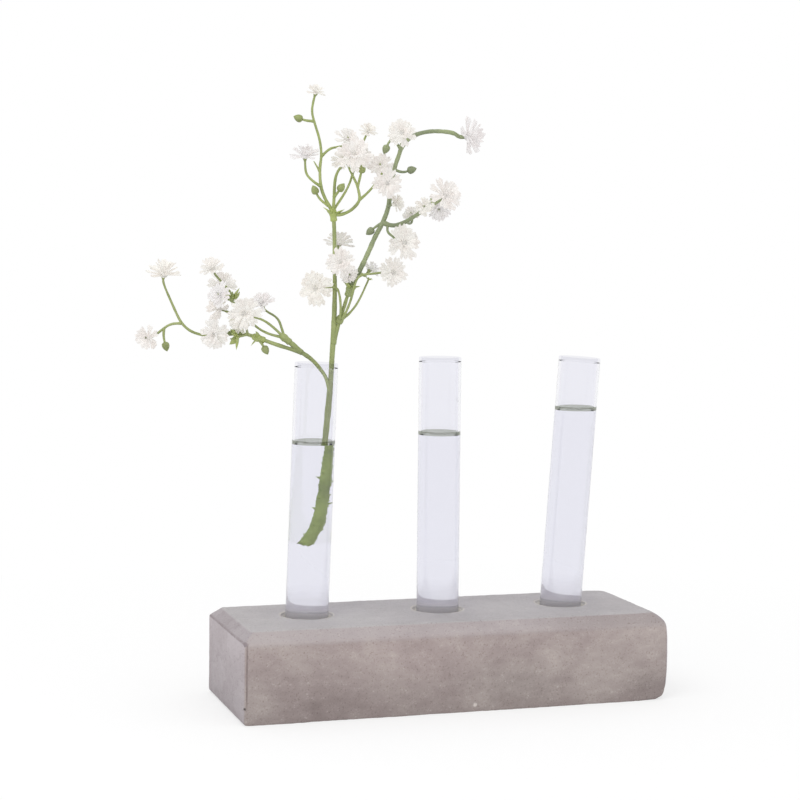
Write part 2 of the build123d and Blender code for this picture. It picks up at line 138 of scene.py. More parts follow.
# evenly spaced points along a line of points, and how far along it each one is
def spaced(points, step):
    gone = np.append(0, np.cumsum(np.linalg.norm(np.diff(points, axis=0), axis=1)))
    wanted = np.linspace(0, gone[-1], max(2, int(gone[-1] / step) + 1))
    return np.stack([np.interp(wanted, gone, points[:, axis]) for axis in range(3)], -1), wanted


# smooth unevenness: a sum of sine waves in fixed scattered directions, about -1 to 1
def ripple(points, size, seed, waves=7):
    dice = np.random.default_rng(seed)
    ways = dice.normal(size=(waves, 3))
    ways *= (2 * pi / size) * dice.uniform(0.6, 1.7, (waves, 1)) / np.linalg.norm(ways, axis=1)[:, None]
    return np.sin(points @ ways.T + dice.uniform(0, 2 * pi, waves)).sum(axis=-1) / sqrt(waves)


# an sRGB hex colour as Blender's linear values
def linear(code):
    values = [int(code[i:i + 2], 16) / 255 for i in (0, 2, 4)]
    return [v / 12.92 if v <= 0.04045 else ((v + 0.055) / 1.055) ** 2.4 for v in values] + [1.0]


# adds a node with its properties; each input is linked to a socket, or set to a value or a hex
# colour, and stops are a ramp's. Gives the output asked for, or all of them for None.
def addNode(tree, kind, inputs=(), output=0, stops=(), **properties):
    node = tree.nodes.new("ShaderNode" + kind)
    for key, value in properties.items():
        setattr(node, key, value)
    for key, value in inputs.items() if isinstance(inputs, dict) else enumerate(inputs):
        if isinstance(value, bpy.types.NodeSocket):
            tree.links.new(value, node.inputs[key])
        else:
            node.inputs[key].default_value = linear(value) if isinstance(value, str) else value
    for spare in stops[2:]:
        node.color_ramp.elements.new(0.5)
    for index, (at, code) in enumerate(stops):
        node.color_ramp.elements[index].position = at
        node.color_ramp.elements[index].color = linear(code)
    return node.outputs if output is None else node.outputs[output]


# an empty material, and what adds nodes to it
def newMaterial(name):
    material = bpy.data.materials.new(name)
    material.use_nodes = True
    material.node_tree.nodes.clear()
    return material, partial(addNode, material.node_tree)


camera = {"place": (-301.3, -854.5, 214.0), "turn": 0.317, "down": 0.081, "roll": -0.015, "lens": 87.09}
studio = {
    "worldStrength": 0.98,
    # lamps: place, size and power, all looking at a point over the middle of the block
    "lamps": {"keyLight": ((-700, -500, 1100), 700, 4.0), "fillLight": ((900, -700, 500), 900, 1.0)},
    "lampAim": (0, 0, 120),
    "floorSize": 6000,
    "ownWhite": (140, 400, 0.62),    # from where to where the floor's own white grows to all, and its least
}


# puts a camera or lamp at a place, with its own x, y and z along three directions
def putObject(name, data, directions, where):
    item = addObject(name, data)
    rows = np.eye(4)
    rows[:3, :3] = np.stack(directions, -1)
    rows[:3, 3] = np.array(where) * mm
    item.matrix_world = Matrix(rows.tolist())
    return item


# the camera looks along (sin turn, cos turn) and a little down; roll turns the picture
def aimCamera():
    turn, down, roll = camera["turn"], camera["down"], camera["roll"]
    ahead = np.array([sin(turn) * cos(down), cos(turn) * cos(down), -sin(down)])
    level = np.array([cos(turn), -sin(turn), 0])
    below = np.cross(ahead, level)
    data = bpy.data.cameras.new("camera")
    data.lens, data.sensor_width, data.clip_end = camera["lens"], 36, 20
    right, below = cos(roll) * level + sin(roll) * below, cos(roll) * below - sin(roll) * level
    bpy.context.scene.camera = putObject("camera", data, [right, -below, -ahead], camera["place"])


# 1 for what the eye, glass and gloss see of the white studio, 0 for what it gives as light
def seenWhite(add):
    ray = add("LightPath", output=None)
    seen = add("Math", [ray["Is Camera Ray"], ray["Is Transmission Ray"]], operation="MAXIMUM")
    return add("Math", [seen, ray["Is Glossy Ray"]], operation="MAXIMUM")


# white to the eye, to reflections and through glass; softer and dimmer as light
def lightStudio():
    world = bpy.data.worlds.new("studio")
    bpy.context.scene.world = world
    world.use_nodes = True
    world.node_tree.nodes.clear()
    add = partial(addNode, world.node_tree)
    strength = add("MapRange", {0: seenWhite(add), 3: studio["worldStrength"], 4: 1.0})
    add("OutputWorld", [add("Background", ["FFFFFF", strength])], None)
    for name, (where, size, power) in studio["lamps"].items():
        data = bpy.data.lights.new(name, "AREA")
        data.energy, data.size = power, size * mm
        away = unit(np.subtract(where, studio["lampAim"]))
        level = unit(np.cross([0, 0, 1], away))
        putObject(name, data, [level, np.cross(away, level), away], where)


# white paper sweep: near the block three fifths of its white are its own, so that the shadow stays
# pale, and further off all of it, so that the paper ends in plain white
def layFloor():
    material, add = newMaterial("studioPaper")
    seen = seenWhite(add)
    paper = add("BsdfDiffuse", [(0.88, 0.88, 0.88, 1)])
    gone = add("VectorMath", [add("TexCoord", output="Object")], "Value", operation="LENGTH")
    near, far, least = studio["ownWhite"]
    share = add("MapRange", [gone, near * mm, far * mm, least])
    mixed = add("MixShader", [share, paper, add("Emission", ["FFFFFF", seen])])
    add("OutputMaterial", [add("MixShader", [seen, paper, mixed])], None)
    corners = np.array([(-1, -1, 0), (1, -1, 0), (1, 1, 0), (-1, 1, 0)]) * studio["floorSize"] * mm
    mesh = bpy.data.meshes.new("floor")
    mesh.from_pydata(corners.tolist(), [], [(0, 1, 2, 3)])
    mesh.materials.append(material)
    floor = addObject("floor", mesh)


bpy.context.scene.view_settings.view_transform = "Standard"
aimCamera()
lightStudio()
layFloor()
print("camera, light and floor made")

block = {
    "length": 207.0, "width": 71.0, "height": 41.4,
    "endSlope": (5.4, 4.4), "longSlope": (6.1, 5.4), "cornerBevel": 1.8,
    "footRadius": {"left": 2.5, "right": 5.5},
    "socketRadius": 11.65, "rimBevel": 0.5,
    "sockets": {"left": (-64.2, 8.3), "middle": (0, 10.6), "right": (63.1, 10.6)},    # along, floor height
    "rowOffset": 2.2, "edgeSoftness": 0.11,
    "seams": 31.9, "gridSteps": (1.2, 1.1),    # of the top: its thirds' borders, and steps along and across
    # the concrete's clouds, mottling, sand and air holes, in mm
    "cloud": 50, "mottle": 6, "sand": 0.8, "holes": 9,
    # colours from the darkest clouds to the palest
    "sideTones": [(0.34, "8B7F7D"), (0.46, "998D8B"), (0.54, "A19693"), (0.68, "B0A6A2")],
    "endTones": [(0.36, "9E9698"), (0.5, "A8A0A3"), (0.66, "B1AAAD")],
    # the top's tones are violet-grey, and painted paler than the sides' as painted light from above
    "topTones": [(0.34, "A5A1A2"), (0.5, "ADA9AA"), (0.66, "B4B1B1")],
    # broad patches on the long sides: place along and up, reach along and up, brightness
    "patches": [((-26, 29), (44, 18), 1.12), ((27, 12), (34, 15), 0.87), ((93, 8), (18, 11), 0.86)],
    # marks in the concrete: place, radius and colour of a pinhole and a chip, both painted dark as their
    # shade, and two pale flecks
    "marks": [((-102.4, -34.8, 7.6), 0.55, "57504E"), ((-102.2, -34.4, 36.4), 1.0, "8C8285"),
              ((5.8, -35.5, 3.2), 0.9, "C6BEBA"), ((102.6, -33.0, 33.5), 0.9, "CCC6C4")],
}


# sand-cement casting: warm grey sides with cloudy lime bloom, smoother violet-grey top and ends, a
# sprinkle of fine sand, a few air holes painted dark as their shade, and painted light inside the sockets:
# near-white cement with a green cast
def castConcrete():
    material, add = newMaterial("castConcrete")
    coords = add("TexCoord", output="Object")
    x, y, z = add("SeparateXYZ", [coords], None)
    lying = add("VectorMath", [coords, (1.0, 1.0, 1.5)], operation="MULTIPLY")    # clouds lie flat
    cloud, mottle, sand = [
        add("TexNoise", {
            "Vector": vector, "Scale": 1 / (block[key] * mm), "Detail": detail, "Roughness": rough})
        for key, vector, detail, rough in (
            ("cloud", lying, 7.0, 0.6), ("mottle", lying, 6.0, 0.75), ("sand", coords, 2.0, 0.6))]
    holes = add("TexVoronoi", {"Vector": coords, "Scale": 1 / (block["holes"] * mm), "Randomness": 1.0}, None)
    blend = add("Math", [mottle, 0.26], operation="MULTIPLY")
    blend = add("Math", [cloud, 0.74, blend], operation="MULTIPLY_ADD")
    side, end, top = [add("ValToRGB", [blend], stops=block[key + "Tones"]) for key in ("side", "end", "top")]

    # the long sides: patches, then the cleaner slope, which is dirtier towards the right; each layer
    # is a share, a colour, and the way it is laid over those before it
    layers = []
    for (along, up), (reachAlong, reachUp), light in block["patches"]:
        off = add("VectorMath", [coords, (along * mm, 0, up * mm)], operation="SUBTRACT")
        off = add("VectorMath", [off, (1 / (reachAlong * mm), 0, 1 / (reachUp * mm))], operation="MULTIPLY")
        far = add("VectorMath", [off], "Value", operation="LENGTH")
        far = add("Math", [far, cloud], operation="ADD")
        layers.append((1.0, add("MapRange", [far, 0.7, 1.5, light, 1.0]), "MULTIPLY"))
    slope = add("MapRange", [z, 34.3 * mm, 37.2 * mm, 0.0, 0.55])
    worn = add("Math", [slope, add("MapRange", [x, 30 * mm, 70 * mm, 0.0, 0.85])], operation="MULTIPLY")
    layers += [(slope, "A59FA1", "MIX"), (worn, "857B79", "MIX")]

    # the ends: faint dried tide marks, a rubbed slope, and a dark line under it
    tide = add("Math", [add("Math", [cloud, 0.53], operation="SUBTRACT")], operation="ABSOLUTE")
    tide = add("MapRange", [tide, 0.0, 0.012, 0.35, 0.0])
    rubbed = add("MapRange", [z, 36.6 * mm, 37.4 * mm, 1.0, 0.82])
    under = (block["height"] - block["endSlope"][1]) * mm
    line = add("Math", [add("Math", [z, under], operation="SUBTRACT")], operation="ABSOLUTE")
    line = add("Math", [add("MapRange", [line, 0.2 * mm, 0.7 * mm, 1.0, 0.0]),
                        add("MapRange", [mottle, 0.35, 0.55, 0.3, 0.8])], operation="MULTIPLY")
    for share, over, way in ((tide, "8A8284", "MIX"), (1.0, rubbed, "MULTIPLY"), (line, "7E7476", "MIX")):
        end = add("Mix", {0: share, 6: end, 7: over}, 2, data_type="RGBA", blend_type=way)

    # sides, ends and top together, with painted shade and light: darker towards the foot, lighter higher up
    run = add("Math", [add("Math", [x], operation="ABSOLUTE"), add("Math", [y], operation="ABSOLUTE")],
              operation="SUBTRACT")
    corner = (block["length"] - block["width"]) / 2 * mm
    onEnd = add("MapRange", [run, corner - 0.4 * mm, corner + 0.4 * mm])
    # painted shade by height: darker towards the foot, and painted light higher up and on the top
    paintedShadeByHeight = add("Math", [mottle, 6 * mm, z], operation="MULTIPLY_ADD")
    paintedShadeByHeight = add("MapRange", [paintedShadeByHeight, 2 * mm, 36 * mm, 0.83, 1.1])
    # the top: its violet-grey tones, painted paler as light from above
    flat = block["height"] * mm
    onTop = add("MapRange", [z, flat - 0.8 * mm, flat - 0.3 * mm])

    # a brown line down the left corner, where the mould's halves met
    seam = add("Math", [run, corner - block["cornerBevel"] * mm * 0.9], operation="SUBTRACT")
    seam = add("Math", [seam], operation="ABSOLUTE")
    seam = add("MapRange", [seam, 0.2 * mm, 0.7 * mm, 1.0, 0.0])
    for factor in (add("MapRange", [add("Math", [x, y], operation="ADD"), -120 * mm, -135 * mm]),
                   add("MapRange", [z, 4 * mm, 12 * mm]),
                   add("MapRange", [z, 37.2 * mm, 36 * mm]),
                   add("MapRange", [mottle, 0.35, 0.6, 0.45, 0.9])):
        seam = add("Math", [seam, factor], operation="MULTIPLY")

    # sand grains, and pale grit in patches
    grain = add("ValToRGB", [sand], stops=[(0.28, "E0DBD9"), (0.42, "FFFFFF")])
    grit = add("Math", [add("MapRange", [sand, 0.6, 0.68]), add("MapRange", [mottle, 0.48, 0.64, 0.0, 0.5])],
               operation="MULTIPLY")
    layers += [(onEnd, end, "MIX"), (1.0, paintedShadeByHeight, "MULTIPLY"), (onTop, top, "MIX"), (seam, "766A68", "MIX"),
               (1.0, grain, "MULTIPLY"), (grit, "C9C1BC", "MIX")]

    # painted light inside the sockets, and their paler chipped rims; then the marks, and the air holes
    # painted dark as their shade
    inside = add("MapRange", [z, 40.8 * mm, 40 * mm])
    for socket in block["sockets"].values():
        axis = add("CombineXYZ", [socket[0] * mm, block["rowOffset"] * mm, z])
        far = add("VectorMath", [coords, axis], "Value", operation="DISTANCE")
        rim = add("MapRange", [far, 13.3 * mm, 12.4 * mm])
        # painted light: the inside of each socket is made near white, standing in for light that reaches it
        # through the glass
        socketPaintedLight = add("Math", [add("MapRange", [far, 12.4 * mm, 12 * mm]), inside], operation="MULTIPLY")
        layers += [(rim, "BFBAB2", "MIX"), (socketPaintedLight, "EEE9D8", "MIX")]
    # the pinhole and the chip are painted dark as their shade; the flecks are pale
    for where, size, code in block["marks"]:
        far = add("VectorMath", [coords, [v * mm for v in where]], "Value", operation="DISTANCE")
        far = add("Math", [sand, 1.2 * mm, far], operation="MULTIPLY_ADD")
        layers.append((add("MapRange", [far, (size + 0.8) * mm, (size + 0.4) * mm]), code, "MIX"))
    # air holes: each is a dent in the bump, and painted shade makes it dark
    pick = add("MapRange", [add("SeparateColor", [holes["Color"]]), 0.86, 1.0, 0.0, 0.065])
    holeDentAndShade = add("Math", [holes["Distance"], pick], operation="LESS_THAN")
    colour = side
    for share, over, way in layers + [(holeDentAndShade, "7F7573", "MIX")]:
        colour = add("Mix", {0: share, 6: colour, 7: over}, 2, data_type="RGBA", blend_type=way)
    relief = add("Math", [mottle, 0.5, sand], operation="MULTIPLY_ADD")
    relief = add("Math", [relief, holeDentAndShade], operation="SUBTRACT")
    bump = add("Bump", {"Strength": 0.3, "Distance": 0.3 * mm, "Height": relief})
    skin = add("BsdfPrincipled", {
        "Roughness": 0.88, "Specular IOR Level": 0.35, "Base Color": colour, "Normal": bump})
    add("OutputMaterial", [skin], None)
    return material


# how far a point is outside the block: a soft greatest of its distances from every face, which
# rounds the edges; edges are worn by ripples, and flat faces only ripple a little
def outsideBlock(points):
    x, y, z = np.abs(points[:, 0]), np.abs(points[:, 1]), points[:, 2]
    halfLength, halfWidth, height = block["length"] / 2, block["width"] / 2, block["height"]
    endRun, endDrop = block["endSlope"]
    longRun, longDrop = block["longSlope"]
    foot = np.where(points[:, 0] > 0, block["footRadius"]["right"], block["footRadius"]["left"])
    low = np.maximum(foot - z, 0)
    out = np.maximum(x - halfLength + foot, 0)
    faces = np.stack([
        z - height,
        -z,
        y - halfWidth,
        x - halfLength,
        np.where((low > 0) & (out > 0), np.hypot(low, out) - foot, -9),
        ((y - halfWidth + longRun) * longDrop + (z - height) * longRun) / np.hypot(longRun, longDrop),
        ((x - halfLength + endRun) * endDrop + (z - height) * endRun) / np.hypot(endRun, endDrop),
        (x + y - halfLength - halfWidth + block["cornerBevel"]) / sqrt(2)])
    # the right end has lost its sharpness in use, at the top and the foot
    used = np.clip((points[:, 0] - 88) / 12, 0, 1) * np.clip((np.abs(z - height / 2) - 8) / 8, 0, 1)
    soft = block["edgeSoftness"] + 0.75 * used
    most = faces.max(axis=0)
    weight = np.exp((faces - most) / soft)
    total = weight.sum(axis=0)
    edge = 1 - ((weight / total) ** 2).sum(axis=0)
    wear = 0.07 * ripple(points, 6, 3) + 0.05 * ripple(points, 2.4, 4)
    chips = np.clip(ripple(points, 5, 5) + 0.6 * ripple(points, 1.8, 6) - 1.45, 0, 1.0) * 0.8
    flat = 0.05 * ripple(points, 23, 8) + 0.025 * ripple(points, 7, 9)
    return most + soft * np.log(total) + flat + edge * (wear + chips) + 0.06


# moves rings of points onto the block's surface, each step along the slope of outsideBlock
def ontoBlock(rings, step=0.02):
    points = rings.reshape(-1, 3)
    for turn in range(4):
        here = outsideBlock(points)
        slope = np.stack([outsideBlock(points + step * way) - here for way in np.eye(3)], -1) / step
        steep = np.maximum((slope ** 2).sum(axis=1), 0.3)[:, None]
        points = points - np.clip(here, -1, 1)[:, None] * slope / steep
    return points.reshape(rings.shape)


# places from 0 to length, closer together near both ends
def crowded(length, step, near=(0.3, 0.8, 1.5, 2.4)):
    ends = np.array([gap for gap in near if gap < length / 3])
    count = max(2, int((length - 2 * near[-1]) / step))
    middle = np.linspace(near[-1] + step, length - near[-1] - step, count)
    return np.concatenate([[0], ends, middle, length - ends[::-1], [length]])


# a third of the top, as a fan of rays from its socket to its border: up the socket's wall, over the
# chipped rim and out
def topShape(index, border):
    socketX, floorZ = list(block["sockets"].values())[index]
    wall, height = block["socketRadius"], block["height"]
    centre = np.array([socketX, block["rowOffset"]])
    ray = unit(border - centre)
    far = np.linalg.norm(border - centre, axis=1)
    turn = np.column_stack([ray, np.full(len(ray), index * 3.0)])
    chip = np.clip(ripple(turn, 0.9, 21) + 0.5 * ripple(turn, 0.3, 22) - 0.35, 0, 1.6) * 0.5
    opening = wall + block["rimBevel"] + chip + 0.1 * ripple(turn, 0.5, 23)
    depth = block["rimBevel"] + chip * 0.8
    inner = opening + 0.25

    def ring(reach, z):
        return np.column_stack([centre + ray * np.reshape(reach, (-1, 1)), np.broadcast_to(z, len(ray))])

    rows = [ring(reach, floorZ) for reach in (wall * 0.35, wall * 0.8, wall - 1.2)]
    for z in np.append(floorZ + 1.2, np.linspace(floorZ + 3, height - 3.6, 10)):
        bulge = 0.12 * ripple(np.column_stack([ray * 2, np.full(len(ray), z / 5)]), 1.6, 31 + index)
        rows.append(ring(wall + bulge, z))
    rows += [ring(wall + 0.2 * chip, height - 1.5 * depth - 0.8),
             ring(wall + 0.45 * (opening - wall), height - depth),
             ring(wall + 0.85 * (opening - wall), height - 0.25 * depth)]
    outward = (0, 0.03, 0.07, 0.13, 0.2, 0.3, 0.4, 0.5, 0.6, 0.7, 0.8, 0.88, 0.94, 0.975, 0.99, 1.0)
    flat = np.stack([ring(inner + (far - inner) * share, height) for share in outward])
    return ringShape(np.concatenate([rows, ontoBlock(flat)]), startPole=[*centre, floorZ])


# the three thirds of the top, and one skirt that goes round the block, down the slopes and the
# sides, and under the foot
def blockShape():
    halfLength, halfWidth, height = block["length"] / 2, block["width"] / 2, block["height"]
    innerLength, innerWidth = halfLength - block["endSlope"][0], halfWidth - block["longSlope"][0]
    seams = [-innerLength, -block["seams"], block["seams"], innerLength]
    across = crowded(2 * innerWidth, block["gridSteps"][1]) - innerWidth
    shapes, borders = [], []
    for index, (left, right) in enumerate(zip(seams[:-1], seams[1:])):
        along = crowded(right - left, block["gridSteps"][0]) + left
        lines = [(along, -innerWidth), (right, across), (along[::-1], innerWidth), (left, across[::-1])]
        borders.append([np.stack(np.broadcast_arrays(*line), -1)[:-1] for line in lines])
        shapes.append(topShape(index, np.vstack(borders[-1])))
    fronts, backs = [lines[0] for lines in borders], [lines[2] for lines in borders[::-1]]
    outline = np.vstack(fronts + [borders[-1][1]] + backs + [borders[0][3]])
    outer = outline * [halfLength / innerLength, halfWidth / innerWidth]
    atEnds = np.abs(outline[:, 0]) / innerLength > 0.99999
    edgeZ = height - np.where(atEnds, block["endSlope"][1], block["longSlope"][1])
    rows = [np.column_stack([outline + (outer - outline) * share, height + (edgeZ - height) * share])
            for share in (0, 0.03, 0.08, 0.16, 0.3, 0.45, 0.6, 0.75, 0.87, 0.94, 0.98, 1.0)]
    rows += [np.column_stack([outer, edgeZ * (1 - share)]) for share in (
        0.01, 0.025, 0.05, 0.09, 0.14, 0.2, 0.27, 0.34, 0.41, 0.48, 0.55, 0.62, 0.69, 0.76, 0.82,
        0.87, 0.91, 0.945, 0.97, 0.985, 1.0)]
    rows += [np.column_stack([outer * share, np.zeros(len(outer))])
             for share in (0.996, 0.985, 0.965, 0.94, 0.9, 0.8, 0.5)]
    rings = np.stack(rows)
    rings[:-1] = ontoBlock(rings[:-1])
    rings[-1, :, 2] = rings[-2, :, 2].mean()
    points, faces = joinShapes(shapes + [ringShape(rings, endPole=[0, 0, rings[-1, 0, 2]])])
    return points, [face[::-1] for face in faces]    # these rings run the other way round


blockPiece = makePiece("concreteBlock", blockShape(), castConcrete(), "block", merge=0.01)
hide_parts("concrete_block")
print("concrete block made")

tube = {
    "radius": 10.0, "length": 150.0, "wall": 1.2, "seatGap": 0.3, "socketClearance": 1.65,
    "leanTurn": -18.0, "lean": {"left": 0.37, "middle": -0.07, "right": 0.70},
    "waterTop": {"left": 121.4, "middle": 124.6, "right": 135.6},    # height of the water over the table
    "climb": 2.2, "climbReach": 1.3,                                 # the water's rise at the glass
    "lineBelow": 0.4, "shadedBand": 1.8,    # where the rise is painted with shade: from under it, and how high
    "clearLip": 1.55,                       # how much of the lip lets light straight through
    "haze": (43.2, 47.0, 8.0, 0.11),        # dry haze over the socket: lowest, highest, fading, share
    "segments": 96,
}


# a tube's seat (the middle of its round end's ball), the way it stands, and two ways across it
def tubeSeat(side):
    socketX, floorZ = block["sockets"][side]
    drop = block["height"] - floorZ - tube["seatGap"] - tube["radius"]
    turn = radians(tube["leanTurn"])
    across = np.array([cos(turn), sin(turn), 0])
    ahead = across * tube["lean"][side] * tube["socketClearance"] / drop + np.array([0, 0, 1])
    seat = np.array([socketX, block["rowOffset"], block["height"]]) - ahead * drop
    back = unit(np.cross(ahead, across))
    return seat, unit(ahead), np.cross(back, unit(ahead)), back


# a profile of (radius, height) turned about the tube's axis
def turned(side, profile):
    seat, ahead, across, back = tubeSeat(side)
    angle = np.arange(tube["segments"])[:, None] * 2 * pi / tube["segments"]
    out = np.cos(angle) * across + np.sin(angle) * back
    return seat + profile[:, :1, None] * out + profile[:, 1:, None] * ahead


# rings closed at both ends, with a tone for each ring
def tonedRings(rings, startPole, endPole, tone):
    points, faces = ringShape(rings, startPole, endPole)
    return np.column_stack([points, np.append(np.repeat(tone, rings.shape[1]), [0, 0])]), faces


# the tube's wall: out round the ball end, up, over the lip in a half circle, and down inside
def glassShape(side):
    radius, wall = tube["radius"], tube["wall"]
    bore, lip = radius - wall, wall / 2
    top = tube["length"] - radius - lip
    ball = np.linspace(0, pi / 2, 18)[1:]
    ballEnd = np.column_stack([np.sin(ball), -np.cos(ball)])
    lipTurn = np.linspace(0, pi, 9)[1:-1]
    heights = np.append(np.linspace(0, top - 1.6, 38), [top - 1.5, top])
    wave = 0.03 * np.sin(heights * 0.09) + 0.02 * np.sin(heights * 0.31 + 1)    # drawn glass isn't quite even
    profile = np.vstack([
        radius * ballEnd,
        np.column_stack([np.full(len(heights), radius), heights])[1:],
        np.column_stack([radius - lip + lip * np.cos(lipTurn), top + lip * np.sin(lipTurn)]),
        np.column_stack([bore + wave, heights])[::-1],
        bore * ballEnd[::-1][1:]])
    seat, ahead = tubeSeat(side)[:2]
    return tonedRings(turned(side, profile), seat - ahead * radius, seat - ahead * bore,
                      profile[:, 1] > top - tube["clearLip"])


# water fills the ball end and the bore to a level surface, which climbs where it meets the glass;
# it reaches a hair into the wall, so that no air gap shows
def waterShape(side):
    reach = tube["radius"] - tube["wall"] + 0.06
    level = tube["waterTop"][side]
    seat, ahead = tubeSeat(side)[:2]
    ball = np.linspace(0, pi / 2, 16)[1:]
    lower = turned(side, reach * np.column_stack([np.sin(ball), -np.cos(ball)]))
    out = turned(side, np.array([[1.0, 0.0]]))[0] - seat
    surface = []
    for gap in (0, 0.12, 0.3, 0.55, 0.9, 1.4, 2.1, 3.2, 4.6, 6.5, reach * 0.97):
        flat = seat + (reach - gap) * out
        rise = tube["climb"] * np.exp(-gap / tube["climbReach"])
        surface.append(flat + ahead * ((level + rise - flat[:, 2]) / ahead[2])[:, None])
    rim = surface[0]
    base = seat + reach * out
    line = rim - ahead * (tube["climb"] + tube["lineBelow"])
    sides = base + (line - base) * np.linspace(0, 1, 24)[1:, None, None]
    # painted shade: these rings where the water meets the glass carry the grey-green band
    wet = [line + ahead * up for up in (0.1, tube["shadedBand"], tube["shadedBand"] + 0.1)]
    rings = np.concatenate([lower, sides, np.stack(wet + [rim, rim - out * 0.02] + surface[1:])])
    tone = np.zeros(len(rings))
    tone[len(lower) + len(sides):][:12] = np.repeat([1, 0.5], [2, 10])    # painted shade, then clear
    return tonedRings(rings, seat - ahead * reach, seat + ahead * ((level - seat[2]) / ahead[2]), tone)


# a clear body that lets lamps' light straight through, as thin glass and water do. Where its tone is
# raised the eye sees straight through too, and at full tone through a faint tint.
def clearBody(name, tint, bend, faint, haze=None):
    material, add = newMaterial(name)
    ray = add("LightPath", output=None)
    skin = add("BsdfPrincipled", {
        "Base Color": tint, "Roughness": 0.0, "IOR": bend, "Transmission Weight": 1.0})
    if haze:
        low, high, reach, most = haze
        height = add("SeparateXYZ", [add("TexCoord", output="Object")], "Z")
        rise = add("MapRange", {0: height, 1: low * mm, 2: (low + 0.8) * mm, 4: most})
        fall = add("MapRange", [height, high * mm, (high + reach) * mm, 1.0, 0.0])
        share = add("Math", [rise, fall], operation="MULTIPLY")
        skin = add("MixShader", [share, skin, add("BsdfDiffuse", ["E9E7EA"])])
    light = add("Math", [ray["Is Shadow Ray"], ray["Is Diffuse Ray"]], operation="MAXIMUM")
    body = add("MixShader", [light, skin, add("BsdfTransparent", [tint])])
    tone = add("Attribute", output="Fac", attribute_name="tone")
    tinted = add("Math", [tone, 0.75], operation="GREATER_THAN")
    raised = add("Math", [tone, 0.25], operation="GREATER_THAN")
    veil = add("Mix", {0: tinted, 6: "FFFFFF", 7: faint}, 2, data_type="RGBA")
    add("OutputMaterial", [add("MixShader", [raised, body, add("BsdfTransparent", [veil])])], None)
    return material


# borosilicate test-tube glass, drawn and fire-polished: clear, with a faint grey-violet body
glass = clearBody("borosilicateGlass", "F5F5F9", 1.42, "F8F8FA", tube["haze"])
# tap water, clear; where it climbs the glass, a thin grey-green band is painted on, as painted shade for the
# dark line at its curved edge
water = clearBody("tapWater", "FAFAFC", 1.333, "C3C6BC")
for side in block["sockets"]:
    glassPiece = makePiece("glassTube_" + side, glassShape(side), glass, side + "_tube")
    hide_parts("glass_tube_" + side)
    makePiece("water_" + side, waterShape(side), water, side + "_tube")
print("tubes and water made")

# places are hundredths of the sprig's height from the middle of the left tube's mouth: right, back,
# up. The trunk's are shares of the room in the bore, and of the tube's length below its rim.
sprig = {
    "height": 212.0, "rimRadius": 1.35, "footShare": 0.565,
    "leaderRadii": ([0, 0.12, 0.25, 0.5, 0.62, 1.0], [2.1, 1.85, 1.65, 1.35, 1.2, 0.85]),
    # radii of each limb at its start and its end
    "limbs": {"right": (1.05, 0.8), "left": (0.75, 1.05), "leftLower": (1.05, 0.8), "leftUpper": (1.05, 1.3)},
    "twigStart": {"leader": 0.8, "twig": 0.6, "leaf": 0.95}, "twigEnd": 0.5,
    "stout": {"right_upper": (1.2, 0.95), "right_tip": (1.0, 0.95), "right_outer": (1.05, 0.75)},
    "collarRadius": 1.8, "collarGrip": 3.5, "collarRise": 2.5,
    "calyxRadius": 1.1, "calyxLength": 1.7, "lead": 3.0, "pegRadius": 0.44, "budRadius": 1.75,
    # thorns: their places along the leader, and up to which share they are stouter
    "thorns": (0.012, 0.02, 0.035, 0.05, 0.062, 0.08, 0.095, 0.12, 0.135, 0.15, 0.165, 0.18, 0.2, 0.215,
               0.23, 0.26, 0.3, 0.37, 0.45, 0.58, 0.7, 0.83),
    "stoutThorns": 0.25,
}
stems = {
    "trunk": [(-0.22, 0.85, 0.575), (-0.05, 0.82, 0.545), (0.28, 0.71, 0.50), (0.43, 0.56, 0.42),
              (0.58, 0.40, 0.333), (0.76, 0.21, 0.207), (0.93, 0.04, 0.055)],
    "upper": [(3.3, 0, 0.6), (3.6, 0, 5.7), (3.8, 0, 13.4), (3.7, 0, 21.9), (3.5, 0, 29.6), (3.2, 0, 32.2)],
    "right": [(3.6, 0, 4.2), (4.3, 0, 7.2), (7.0, 0, 16.1)],
    "left": [(2.9, 0, -6.3), (2.2, 0, -3.3), (1.2, 0, -1.8), (-0.8, 0, 0.6), (-3.4, 0, 2.3)],
    "leftLower": [(-3.2, 0, 2.2), (-5.8, 0, 2.9), (-9.1, 0, 3.9), (-12.8, 0, 5.2)],
    "leftUpper": [(-3.2, 0, 2.1), (-5.0, 0, 3.7), (-7.0, 0, 5.3)],
    "backStub": [(3.7, 0, 22.6), (4.1, 1.8, 23.4)],
    "wrap": [(4.95, 0, 9.4)],
}
